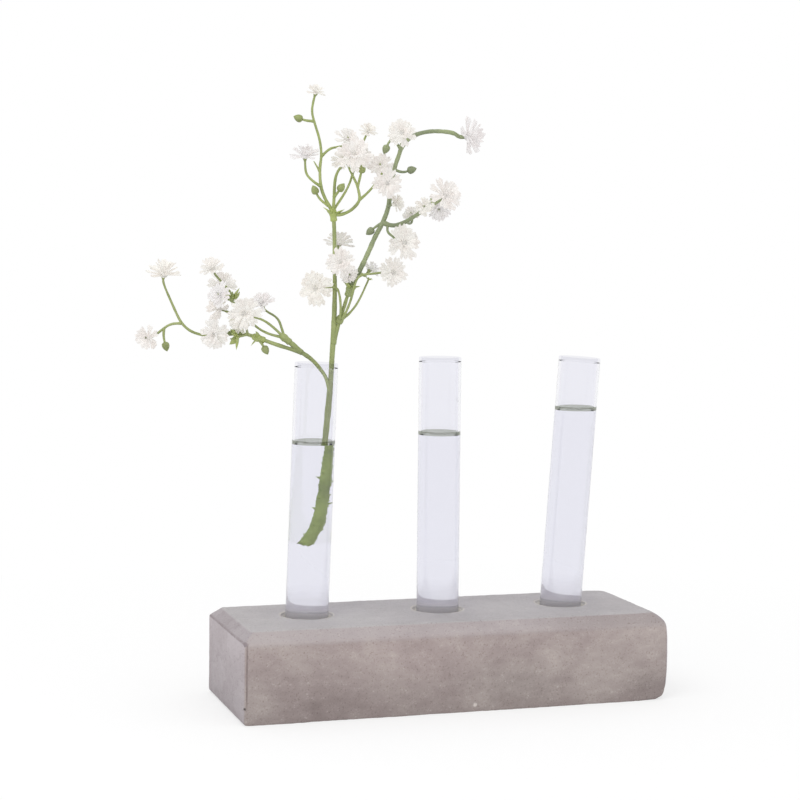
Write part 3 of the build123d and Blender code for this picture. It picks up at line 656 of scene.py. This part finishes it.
# each head: its place, its size, and the way it looks (right, back, up)
heads = {
    "far_left_upper": ((-33.2, 0.0, 19.1), "large", (0.1, -0.25, 1)),
    "far_left_lower": ((-36.5, -1.9, 5.0), "small", (-0.6, -0.8, -0.1)),
    "left_top": ((-23.0, 0.9, 20.3), "small", (-0.35, -0.5, 0.8)),
    "left_upper": ((-21.0, 5.2, 16.8), "medium", (0.1, -0.6, 0.8)),
    "left_side": ((-21.0, -1.9, 14.5), "small", (-0.5, -0.8, 0.3)),
    "left_middle": ((-21.7, 2.8, 11.5), "medium", (-0.6, -0.5, 0.3)),
    "left_low": ((-21.9, -3.8, 6.0), "medium", (-0.2, -0.95, -0.2)),
    "left_front": ((-15.3, -4.2, 10.5), "large", (-0.15, -0.95, 0.2)),
    "left_rear": ((-16.8, -0.4, 8.8), "small", (-0.6, -0.7, -0.4)),
    "left_fork": ((-12.2, 1.9, 12.8), "small", (-0.3, -0.5, 0.8)),
    "top_tip": ((-0.7, 0.0, 58.3), "tiny", (0.3, -0.3, 0.9)),
    "top_left": ((-2.9, -1.4, 44.8), "medium", (0, -0.2, 1)),
    "top_right": ((6.0, 2.4, 48.4), "small", (0.4, -0.6, 0.7)),
    "top_far": ((10.4, 4.7, 50.4), "tiny", (0.3, -0.5, 0.8)),
    "top_centre": ((7.7, -2.8, 44.9), "large", (0, -0.95, 0.3)),
    "top_low": ((5.2, 1.9, 44.0), "small", (-0.4, -0.7, 0.5)),
    "top_back": ((9.6, 3.3, 44.4), "small", (0.6, -0.5, 0.6)),
    "top_side": ((13.3, 0.9, 42.8), "small", (-0.3, -0.8, 0.4)),
    "right_upper": ((17.8, -2.8, 49.5), "medium", (-0.1, -0.9, 0.4)),
    "right_tip": ((32.6, 2.8, 49.4), "broad", (0.95, -0.3, 0.1)),
    "right_front": ((14.9, -4.7, 38.8), "medium", (-0.1, -0.95, -0.2)),
    "right_small": ((16.9, -1.9, 34.7), "tiny", (0.8, -0.5, 0.3)),
    "right_outer": ((27.5, -1.9, 36.7), "large", (0.5, -0.7, 0.5)),
    "right_low": ((26.0, 2.4, 33.6), "small", (0.1, -0.9, -0.3)),
    "right_inner": ((22.8, -1.4, 34.0), "tiny", (-0.1, -0.95, 0.2)),
    "right_nub": ((20.0, 1.9, 32.4), "tiny", (-0.2, -0.6, 0.8)),
    "right_lower": ((18.6, -2.4, 26.2), "large", (0.4, -0.8, 0.1)),
    "centre_left": ((-0.2, -2.4, 16.2), "large", (-0.15, -0.97, 0.1)),
    "centre_front": ((5.1, -3.8, 21.8), "medium", (-0.1, -0.95, 0.2)),
    "centre_small": ((6.9, -2.4, 19.3), "tiny", (0.3, -0.8, -0.2)),
    "centre_back": ((4.5, 4.2, 26.2), "medium", (0.1, 0.3, 0.95)),
    "centre_right": ((16.3, -2.8, 19.9), "medium", (0.35, -0.92, -0.1)),
    "centre_pale": ((11.5, 2.8, 20.5), "tiny", (0.5, 0.3, 0.6)),
}
# each twig: its thickness, the head or bud at its end, and its places
twigs = {
    "left_tip_spray": [
        ("leader", "far_left_upper", [
            (-12.8, 0, 5.2), (-15.0, 0.5, 5.9), (-17.9, 0.9, 6.0), (-22.4, 1.2, 5.4),
            (-25.3, 0.9, 5.6), (-27.7, 0.5, 6.5), (-29.4, 0, 8.2), (-30.6, 0, 10.6), (-31.5, 0, 12.6)]),
        ("twig", "far_left_lower", [(-29.4, 0, 8.1), (-31.6, -0.5, 8.0), (-33.3, -0.9, 6.8)]),
        ("twig", "bud", [(-33.0, -0.8, 7.0), (-33.1, -0.9, 5.1), (-32.6, -0.9, 3.2)]),
        ("twig", "left_top", [
            (-15.0, 0.5, 5.9), (-15.4, 3.0, 6.7), (-16.5, 4.2, 8.8), (-17.5, 3.8, 12.1), (-19.0, 1.8, 15.2)]),
        ("twig", "left_upper", [(-17.4, 3.9, 11.8), (-19.3, 6.4, 13.0)]),
        ("twig", "left_side", [(-18.2, 3.4, 13.5), (-19.0, 1.5, 13.2)]),
        ("twig", "left_middle", [(-17.0, 4.0, 10.3), (-18.6, 4.3, 10.2)]),
        ("twig", "left_low", [(-17.9, 0.9, 6.0), (-19.8, -0.4, 6.6)]),
        ("twig", "bud", [(-13.2, 0, 5.4), (-11.9, -0.6, 4.1), (-11.1, -0.6, 2.7)]),
        ("leaf", "point", [(-15.6, 0.6, 5.9), (-17.0, 1.8, 6.4), (-18.9, 2.0, 6.6)]),
        ("leaf", "point", [(-15.0, 0.5, 5.9), (-17.0, -0.6, 5.3), (-18.7, -0.7, 4.9)]),
        ("leaf", "point", [(-17.3, 3.8, 11.6), (-18.1, 3.7, 13.3), (-18.7, 3.6, 15.0)]),
    ],
    "left_fork_spray": [
        ("twig", "left_fork", [(-7.0, 0, 5.3), (-7.6, 0.5, 7.2), (-8.5, 1.2, 9.6)]),
        ("twig", "left_front", [(-7.0, 0, 5.3), (-9.7, -0.9, 7.9), (-11.9, -1.7, 9.4)]),
        ("twig", "left_rear", [(-7.0, 0, 5.3), (-10.3, -0.2, 6.0), (-12.9, 0.1, 7.3)]),
    ],
    "top_spray": [
        ("leader", "top_tip", [
            (3.2, 0, 32.2), (2.5, 0, 33.7), (1.4, 0, 35.4), (0.4, 0, 38.0), (0.2, 0, 42.0),
            (0.6, 0, 44.6), (0.2, 0, 47.9), (-0.9, 0, 51.2), (-1.7, 0, 53.9)]),
        ("twig", "bud", [(-1.2, 0, 51.9), (-2.9, 0, 52.0), (-4.4, 0, 52.5)]),
        ("twig", "top_right", [(0.5, 0, 44.4), (2.3, 0.6, 46.2), (3.8, 2.6, 46.6)]),
        ("twig", "point", [(0.2, 0, 41.3), (-1.1, 0, 43.4)]),
        ("twig", "top_left", [(0.5, 0, 38.0), (-1.4, -0.5, 39.2), (-2.7, -0.9, 40.6)]),
        ("twig", "bud", [(2.1, 0, 33.9), (0.2, -0.7, 35.3), (-0.7, -0.9, 37.1)]),
        ("leader", "top_centre", [
            (3.2, 0, 32.2), (3.4, -0.9, 35.2), (3.5, -1.4, 39.4), (4.2, -1.4, 41.5), (5.6, -0.9, 43.0)]),
        ("twig", "bud", [(3.4, -1.0, 35.8), (4.1, -1.8, 36.6), (4.9, -2.0, 37.7)]),
        ("twig", "top_back", [(3.3, 0, 33.0), (5.8, 0.9, 36.9), (6.8, 1.2, 39.1), (7.3, 1.6, 41.2)]),
        ("twig", "top_far", [(7.2, 1.5, 40.8), (7.0, 5.0, 43.5), (8.4, 6.4, 46.2)]),
        ("leader", "top_low", [
            (3.2, 0, 32.2), (4.7, 0, 31.9), (6.9, 0, 32.8), (8.5, 0, 34.4), (9.0, 0, 35.7),
            (8.3, 0, 38.5), (7.2, 0.8, 40.6)]),
        ("twig", "bud", [(8.4, 0, 38.0), (8.9, -0.3, 40.0), (9.3, -0.3, 41.8)]),
        ("twig", "top_side", [(8.9, 0, 35.3), (10.6, 0.7, 36.8), (12.6, 1.6, 39.2)]),
    ],
    "right_spray": [
        ("leader", "right_upper", [
            (7.0, 0, 16.1), (8.8, 0, 19.4), (11.1, 0, 24.4), (12.2, 0, 27.2), (14.0, 0, 30.5),
            (15.2, 0, 33.9), (15.4, 0, 37.0), (16.4, 0, 42.8), (17.4, 0, 45.4)]),
        ("twig", "right_tip", [
            (17.5, 0, 46.3), (18.9, 1.4, 48.3), (20.3, 1.9, 49.3), (22.6, 2.4, 50.1),
            (25.3, 2.8, 50.4), (29.0, 2.8, 50.1)]),
        ("twig", "bud", [(17.5, 0, 46.2), (16.1, 0.4, 48.4), (15.1, 0.4, 48.0), (14.4, 0.4, 46.3)]),
        ("twig", "bud", [(16.3, 0, 41.8), (18.1, 0, 41.2), (19.9, 0, 41.8)]),
        ("twig", "bud", [(14.0, 0, 30.5), (12.6, 0, 29.7), (11.3, 0, 28.6)]),
        ("twig", "right_front", [(15.4, 0, 37.2), (15.4, -1.0, 38.4)]),
        ("twig", "right_small", [(15.1, 0, 33.6)]),
        ("leader", "right_outer", [
            (14.0, 0, 30.5), (15.0, 0, 30.0), (16.7, 0, 29.8), (19.0, 0, 30.7), (21.9, 0, 32.7),
            (24.9, 0, 34.6)]),
        ("twig", "right_inner", [(21.9, 0, 32.7)]),
        ("twig", "right_low", [(24.6, 0, 34.4), (24.2, 2.4, 36.4)]),
        ("twig", "right_nub", [(19.0, 0, 30.7), (19.8, 2.2, 30.2)]),
        ("twig", "right_lower", [(15.0, 0, 30.0), (14.9, -0.3, 28.4), (16.3, -0.3, 27.4)]),
        ("twig", "centre_front", [(7.2, -0.3, 16.8), (5.9, -1.3, 18.6), (5.4, -1.2, 20.0)]),
        ("twig", "centre_small", [(7.2, -0.3, 16.8), (7.0, -1.0, 18.1)]),
    ],
    "centre_spray": [
        ("twig", "centre_left", [(5.0, -0.8, 9.6), (5.2, -1.2, 11.5), (4.9, -1.2, 15.0), (4.0, -1.2, 16.7)]),
        ("twig", "centre_right", [
            (5.4, -0.6, 9.6), (6.3, -1.5, 11.0), (7.5, -2.1, 14.2), (8.3, -2.2, 18.1),
            (9.6, -1.6, 19.3), (12.8, -1.2, 19.5)]),
        ("twig", "calyx", [(5.5, 0.3, 9.6), (7.1, 0.8, 10.8), (9.0, 0.8, 13.4), (11.0, 0.8, 18.1)]),
        ("twig", "centre_pale", [(9.6, -1.6, 19.3), (10.4, 0.4, 18.8)]),
    ],
}

mouth = tubeSeat("left")[0] + tubeSeat("left")[1] * (tube["length"] - tube["radius"])
leanTurn = radians(tube["leanTurn"])
sprigAxes = np.array([[cos(leanTurn), sin(leanTurn), 0], [-sin(leanTurn), cos(leanTurn), 0], [0, 0, 1]])


# points of the sprig, from the tables' hundredths of its height
def sprigPoints(shares):
    return mouth + np.atleast_2d(np.asarray(shares, float)) @ sprigAxes * sprig["height"] / 100


# points of the trunk, from shares of the room in the bore and of the tube's length
def trunkPoints(shares):
    seat, ahead, across, back = tubeSeat("left")
    shares = np.atleast_2d(np.asarray(shares, float))
    room = tube["radius"] - tube["wall"] - sprig["rimRadius"]
    up = tube["length"] - tube["radius"] - shares[:, 2:] * tube["length"]
    return seat + shares[:, :1] * room * across + shares[:, 1:2] * room * back + up * ahead


# the way a head looks, and the foot that it stands on its peg with
def headWay(name):
    return unit(np.asarray(heads[name][2], float) @ sprigAxes)


def headFoot(name):
    where, size = heads[name][:2]
    return sprigPoints(where)[0] - headWay(name) * flower["behind"] * flower["widths"][size]


# a shape with one tone all over
def withTone(shape, tone):
    return np.column_stack([shape[0][:, :3], np.full(len(shape[0]), tone)]), shape[1]


# a moulded stem: a taper with a thicker root, knuckles every few millimetres and slight waves
def stemShape(points, start, end, seed, sides=12, root=0.35):
    path, gone = spaced(roundCorners(points), 0.55)
    share = gone / gone[-1]
    radii = start + (end - start) * share if np.isscalar(start) else np.interp(share, *start)
    knuckles, waves = 0.05 * ripple(path, 5, seed), 0.03 * ripple(path, 1.7, seed + 1)
    return alongPath(path, radii * (1 + root * np.exp(-gone / 1.6) + knuckles + waves), sides)


# a small pointed thorn or scale on a stem
def thornShape(root, way, length, radius):
    steps = np.linspace(0, 1, 5)
    path = root + steps[:, None] * unit(way) * length
    return alongPath(path, radius * (1 - steps) ** 0.8 + 0.03, 6)


# a leaflet: a flat ring of eight points carried outwards, widest at two fifths, with a raised rib
def leafShape(root, ahead, out, length, width, lift):
    steps = np.linspace(0, 1, 7)[:, None]
    way = unit(out * (1 - 0.5 * lift) + ahead * lift)
    side = np.cross(ahead, out)
    face = np.cross(way, side)
    middle = root + steps * way * length + steps ** 2 * out * length * 0.25
    half = width / 2 * np.sin(pi * (0.12 + 0.88 * steps) ** 0.8) + 0.05
    turn = np.arange(8)[:, None] * pi / 4
    rings = middle[:, None] + half[..., None] * (np.cos(turn) * side + 0.28 * np.sin(turn) * face)
    return ringShape(rings, middle[0], middle[-1] + way * 0.1)


# a closed bud: an egg with five faint ribs and a small beak, on the end of its twig
def budShape(end, way, radius):
    steps = np.array([0, 0.03, 0.1, 0.2, 0.32, 0.45, 0.58, 0.7, 0.8, 0.88, 0.94, 0.98, 1.0])
    egg = np.array([0.3, 0.5, 0.78, 0.95, 1.0, 0.98, 0.9, 0.75, 0.58, 0.4, 0.24, 0.14, 0.08])
    path = end + (steps[:, None] * 2.5 - 1.05) * radius * unit(way)
    return alongPath(path, egg * radius, 15, lobes=5, lobeShare=0.05)


# a pushed-on collar: a sleeve with two rings
def collarShape(before, tip):
    ahead = unit(tip - before)
    steps = np.array([0, 0.05, 0.12, 0.25, 0.4, 0.5, 0.56, 0.64, 0.78, 0.9, 0.97, 1.0])
    swell = np.array([0.7, 0.86, 0.9, 0.84, 0.86, 0.98, 1.04, 0.98, 0.9, 0.86, 0.72, 0.5])
    start = tip - ahead * sprig["collarGrip"]
    path = start + steps[:, None] * ahead * (sprig["collarGrip"] + sprig["collarRise"])
    return alongPath(path, swell * sprig["collarRadius"], 16, lobes=5, lobeShare=0.04)


# pointed leaflets round a place on a stem that runs ahead: spread along it, each a little different
def leafRing(middle, ahead, count, seed, inner, spread, length=3.6, width=2.6):
    dice = np.random.default_rng(seed)
    ahead = unit(ahead)
    side = unit(np.cross(ahead, [0.3, 0.9, 0.1]))
    leaves = []
    for index in range(count):
        turn = 2 * pi * index / count + dice.uniform(-0.25, 0.25)
        out = cos(turn) * side + sin(turn) * np.cross(ahead, side)
        root = middle + ahead * dice.uniform(-spread, spread) + out * inner
        leaf = leafShape(root, ahead, out, length * dice.uniform(0.85, 1.15), width, dice.uniform(0.3, 0.9))
        leaves.append(withTone(leaf, dice.uniform(1.1, 1.3)))
    return leaves


# a twig with what its end carries: a cup and peg for a flower head, leaflets, a bud, or a bare point
def twigShape(kind, end, shares, seed):
    points = sprigPoints(shares)
    start, stop = sprig["stout"].get(end, (sprig["twigStart"][kind], sprig["twigEnd"]))
    if end in heads:
        way, foot = headWay(end), headFoot(end)
        points = np.vstack([points, foot - way * sprig["lead"], foot])
        steps = np.linspace(0, 1, 7)
        cupPath = foot + (steps[:, None] - 1) * sprig["calyxLength"] * way
        cup = alongPath(cupPath, stop + (max(stop, sprig["calyxRadius"]) - stop) * steps ** 1.6, 15, 5, 0.1)
        pegSteps = np.linspace(-0.5, 0.2 * flower["widths"][heads[end][1]] + 0.3, 4)[:, None]
        peg = alongPath(foot + pegSteps * way, np.full(4, sprig["pegRadius"]), 8)
        return joinShapes([stemShape(points, start, stop, seed), withTone(cup, 0.9), withTone(peg, 0.85)])
    last = points[-1] - points[-2]
    if kind == "leaf":
        leaves = leafRing(points[1], points[1] - points[0], 5, seed, 0.3, 1.6, 4.8, 3.3)
        return joinShapes([stemShape(points, 0.55, 0.25, seed)] + leaves)
    if end == "calyx":
        leaves = leafRing(points[-1], last, 5, seed, 0.2, 0.1, 1.8, 1.1)
        return joinShapes([stemShape(points, start, 0.42, seed)] + leaves)
    if end == "bud":
        bud = budShape(points[-1], last, sprig["budRadius"])
        return joinShapes([stemShape(points, start, stop, seed), withTone(bud, 0.86)])
    return stemShape(points, start, 0.18, seed)


# several twigs, each with its own seed
def twigShapes(name, seed):
    return [twigShape(*twig, seed + 10 * index) for index, twig in enumerate(twigs[name])]


# a spray: a collar on the tip of its stem, leaflets round it, and its twigs
def sprayShape(name, stem, leaflets, seed):
    before, tip = sprigPoints(stem[-2:])
    collar = withTone(collarShape(before, tip), 1.12 if leaflets else 1.0)
    ring = leafRing(tip, tip - before, leaflets, seed, sprig["collarRadius"] * 0.6, 1.0)
    return joinShapes([collar] + ring + twigShapes(name, seed))


# injection-moulded polythene stem: satin, olive, a little darker and greyer in cloudy patches
def mouldedStem(name, dark, plain, light):
    material, add = newMaterial(name)
    coords = add("TexCoord", output="Object")
    patches = add("TexNoise", {"Vector": coords, "Scale": 1 / (12 * mm), "Detail": 3.0})
    fine = add("TexNoise", {"Vector": coords, "Scale": 1 / (1.2 * mm), "Detail": 2.0})
    colour = add("ValToRGB", [patches], stops=[(0.32, dark), (0.5, plain), (0.68, light)])
    tone = add("Attribute", output="Fac", attribute_name="tone")
    young = add("MapRange", [tone, 1.0, 1.3, 0.0, 0.75])
    height = add("SeparateXYZ", [coords], "Z")
    waterLine = tube["waterTop"]["left"]
    wet = add("MapRange", [height, (waterLine + 0.5) * mm, (waterLine - 0.5) * mm])
    # the length that stands in water is a stronger green
    for share, over, way in ((1.0, tone, "MULTIPLY"), (young, "A6B25E", "MIX"), (wet, "F3FFC3", "MULTIPLY")):
        colour = add("Mix", {0: share, 6: colour, 7: over}, 2, data_type="RGBA", blend_type=way)
    bump = add("Bump", {"Strength": 0.25, "Distance": 0.2 * mm, "Height": fine})
    skin = add("BsdfPrincipled", {
        "Roughness": 0.46, "IOR": 1.5, "Subsurface Weight": 0.08, "Subsurface Radius": (0.4, 0.6, 0.2),
        "Subsurface Scale": 1 * mm, "Base Color": colour, "Normal": bump})
    add("OutputMaterial", [skin], None)
    return material


flower = {
    "widths": {"broad": 16.0, "large": 14.5, "medium": 12.5, "small": 11.0, "tiny": 8.0},
    "behind": 0.15,    # how far its foot is behind a head's middle, as a share of its width
    # petals in each tier: how many, their lift in degrees, reach, and height over the foot, both shares
    "tiers": [(8, 8, 1.12, 0.05), (7, 36, 1.04, 0.08), (5, 64, 0.92, 0.11)],
    "halfWidth": 0.15, "thickness": 0.02, "cup": 0.35, "fork": 0.22, "hub": 0.12,
    "tints": ["FAF8F5", "FAF7F4", "FAF8F3", "F8F6F6", "F9F7F3"],
}


# petals of a tier, all at once: a flat ring of eight points is carried outwards along a curve
# that starts at the tier's lift and bends down; near the tip its middle is drawn back, for the fork
def petalTier(width, dice, count, lift, reach, height):
    steps = np.array([0, 0.22, 0.45, 0.68, 0.86, 1.0])
    spread = np.array([0.4, 0.46, 0.6, 0.82, 1.0, 0.9])
    across = np.array([-1, -0.55, 0, 0.55, 1, 0.55, 0, -0.55])
    above = np.array([0, 1, 0.35, 1, 0, -0.8, -0.6, -0.8])
    turn = (np.arange(count) + dice.uniform(-0.22, 0.22, count)) * 2 * pi / count + dice.uniform(0, 6)
    lifts = np.radians(lift + dice.normal(0, 9, count))[:, None] * (1.08 - 0.42 * steps)
    length = width / 2 * reach * dice.uniform(0.86, 1.03, count)
    gaps = np.diff(steps, prepend=0) * length[:, None]
    outward = flower["hub"] * width * 0.4 + np.cumsum(gaps * np.cos(lifts), axis=1)
    upward = height * width + np.cumsum(gaps * np.sin(lifts), axis=1)
    half = flower["halfWidth"] * width * spread * dice.uniform(0.85, 1.15, (count, 1))
    forked = np.clip((steps - 0.68) / 0.32, 0, 1)[:, None] * np.abs(np.abs(across) - 0.6) / 0.6
    back = flower["fork"] * width / 2 * forked
    sideways = half[..., None] * across
    rise = flower["thickness"] * width * above + flower["cup"] * half[..., None] * np.abs(across)
    cosLift, sinLift = np.cos(lifts)[..., None], np.sin(lifts)[..., None]
    twist = dice.normal(0, 0.18, count)[:, None, None] * steps[:, None]
    out = outward[..., None] - sinLift * rise - back * cosLift
    up = upward[..., None] + cosLift * rise - back * sinLift + sideways * twist
    cosTurn, sinTurn = np.cos(turn)[:, None, None], np.sin(turn)[:, None, None]
    rings = np.stack([out * cosTurn - sideways * sinTurn, out * sinTurn + sideways * cosTurn, up], -1)
    first = np.arange(count)[:, None] * 48    # six rings of eight points in each petal
    quads = (gridFaces(6, 8) + first[..., None]).reshape(-1, 4)
    faces = list(quads) + list(first + np.arange(40, 48)) + list(first + np.arange(8)[::-1])
    # painted shade: each petal a little greyer towards its tip
    shade = 1 - 0.05 * np.broadcast_to(steps[:, None] ** 2, (count, 6, 8))
    return (rings.reshape(-1, 3), faces), np.ravel(shade)


# a flower head: its tiers of petals round a hub, each point with a colour that carries painted shade, greyer
# towards the petal tips and darker on the hub
def flowerShape(name):
    width = flower["widths"][heads[name][1]]
    seed = sorted(heads).index(name)
    dice = np.random.default_rng(100 + seed)
    hubPath = np.linspace(0, 1, 7)[:, None] * [0, 0, 0.2 * width]
    hub = alongPath(hubPath, flower["hub"] * width * np.array([0.9, 1.0, 1.05, 1.05, 1.0, 0.9, 0.7]), 12)
    tiers = [petalTier(width, dice, *tier) for tier in flower["tiers"]]
    points, faces = joinShapes([petals for petals, shade in tiers] + [hub])
    # painted shade: the hub darker than the petals
    shade = np.concatenate([shade for petals, shade in tiers] + [np.full(len(hub[0]), 0.85)])
    tint = linear(flower["tints"][seed % len(flower["tints"])])[:3]
    way = headWay(name)
    side = unit(np.cross(way, [0.2, 0.3, 0.93]))
    axes = np.stack([side, np.cross(way, side), way])
    colours = np.column_stack([np.outer(shade, tint), np.ones(len(shade))])
    return (headFoot(name) + points[:, :3] @ axes, faces), colours


# thin moulded polythene petals: chalk white with a breath of pink or cream; some light goes through
def petalPlastic():
    material, add = newMaterial("petalPolythene")
    tint = add("Attribute", attribute_name="tint")
    coords = add("TexCoord", output="Object")
    mould = add("TexNoise", {"Vector": coords, "Scale": 1 / (4 * mm), "Detail": 2.0})
    cloud = add("ValToRGB", [mould], stops=[(0.35, "FAF7F6"), (0.6, "FFFFFF")])
    colour = add("Mix", {0: 1.0, 6: tint, 7: cloud}, 2, data_type="RGBA", blend_type="MULTIPLY")
    front = add("BsdfPrincipled", {"Roughness": 0.65, "IOR": 1.5, "Base Color": colour})
    skin = add("MixShader", [0.3, front, add("BsdfTranslucent", [colour])])
    # light that goes from petal to petal isn't held up much by plastic this thin
    ray = add("LightPath", output=None)
    thin = add("Math", [ray["Is Shadow Ray"], ray["Is Diffuse Ray"]], operation="MAXIMUM")
    thin = add("Math", [thin, 0.74], operation="MULTIPLY")
    add("OutputMaterial", [add("MixShader", [thin, skin, add("BsdfTransparent")])], None)
    return material


petalMaterial = petalPlastic()
for name in heads:
    shape, colours = flowerShape(name)
    head = makePiece("flower_" + name, shape, petalMaterial, "sprig",
                     colours=colours, smooth=False)
    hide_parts("head_" + name)
print("flower heads made")

olive = mouldedStem("olivePolythene", "7D8757", "909A62", "A0A972")
paleGreen = mouldedStem("paleGreenPolythene", "89935C", "9AA666", "A9B274")
greyGreen = mouldedStem("greyGreenPolythene", "7A8466", "8B9570", "9CA67B")


# the leader, from its ragged foot to the top collar: dark at the cut end, and darker inside the glass above
# the water as painted shade
def leaderShape(places):
    points, faces = stemShape(places, sprig["leaderRadii"], 0, 51, sides=20, root=0.0)
    waterLine = tube["waterTop"]["left"]
    footZ = trunkPoints([(0, 0, sprig["footShare"])])[0, 2]
    points[:, :2] += (0.24 * ripple(points, 1.5, 53) * (points[:, 2] < waterLine))[:, None]
    up = points[:, 2].copy()
    # painted shade: 0.88 inside the glass above the water
    tone = np.select([up < footZ + 1.0, up < waterLine, up < mouth[2]], [0.86, 1.02, 0.88], 1.0)
    points[:, 2] = np.maximum(up, footZ + 0.7 * ripple(points * [1, 1, 0], 2.5, 52))
    return np.column_stack([points, tone]), faces


# thorns along the leader, stouter in the water
def thornShapes(places):
    dice = np.random.default_rng(7)
    path = spaced(roundCorners(places), 0.5)[0]
    thorns = []
    for share in sprig["thorns"]:
        turn = dice.uniform(0, 2 * pi)
        out = np.array([cos(turn), sin(turn), 0.5])
        radius = np.interp(share, *sprig["leaderRadii"])
        root = path[int(share * (len(path) - 2))] + out * radius * 0.7
        stout = 1.35 if share < sprig["stoutThorns"] else 1.0
        thorns.append(thornShape(root, out, dice.uniform(0.8, 1.5) * stout, 0.5 * stout))
    return thorns


# the main stem: the leader with its thorns, the limbs, and a stub at the back
leaderPlaces = np.vstack([trunkPoints(stems["trunk"]), sprigPoints(stems["upper"])])
stemParts = [leaderShape(leaderPlaces)]
for seed, (key, radii) in enumerate(sprig["limbs"].items(), 61):
    stemParts.append(stemShape(sprigPoints(stems[key]), *radii, seed))
stemParts.append(twigShape("twig", "centre_back", stems["backStub"], 65))
stemShapes = joinShapes(stemParts + thornShapes(leaderPlaces))
mainStem = makePiece("mainStem", stemShapes, olive, "sprig")
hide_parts("main_stem")
print("main stem made")

# each spray: its stem, how many leaflets are round its collar, and its material
sprays = {
    "left_tip_spray": (stems["leftLower"], 3, olive), "left_fork_spray": (stems["leftUpper"], 0, olive),
    "top_spray": (stems["upper"], 7, paleGreen), "right_spray": (stems["right"], 5, greyGreen),
}
for index, (name, (stem, leaflets, material)) in enumerate(sprays.items()):
    piece = makePiece(name + "_moulding", sprayShape(name, stem, leaflets, 200 + 40 * index),
                      material, "sprig")
    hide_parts(name)
# the centre spray wraps round the right limb
limbStart, limbEnd = sprigPoints(stems["right"][1:3])
wrapPath = sprigPoints(stems["wrap"]) + np.linspace(-1.8, 1.8, 7)[:, None] * unit(limbEnd - limbStart)
wrapRadii = sprig["collarRadius"] * np.array([0.8, 0.95, 1, 1.02, 1, 0.95, 0.8])
wrapParts = [withTone(alongPath(wrapPath, wrapRadii, 16), 0.95)] + twigShapes("centre_spray", 400)
centreSpray = makePiece("centre_spray_moulding", joinShapes(wrapParts), olive, "sprig")
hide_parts("centre_spray")
print("sprays made")


# the stem's core: annealed iron wire, dull and a little scaly
def coreWire():
    material, add = newMaterial("annealedWire")
    coords = add("TexCoord", output="Object")
    scale = add("TexNoise", {"Vector": coords, "Scale": 1 / (1.5 * mm), "Detail": 3.0})
    colour = add("ValToRGB", [scale], stops=[(0.4, "4A4744"), (0.6, "6E6A66")])
    rough = add("MapRange", {0: scale, 3: 0.35, 4: 0.6})
    skin = add("BsdfPrincipled", {"Metallic": 1.0, "Base Color": colour, "Roughness": rough})
    add("OutputMaterial", [skin], None)
    return material


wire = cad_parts["stem_wire"]
wire.data.materials.clear()
wire.data.materials.append(coreWire())
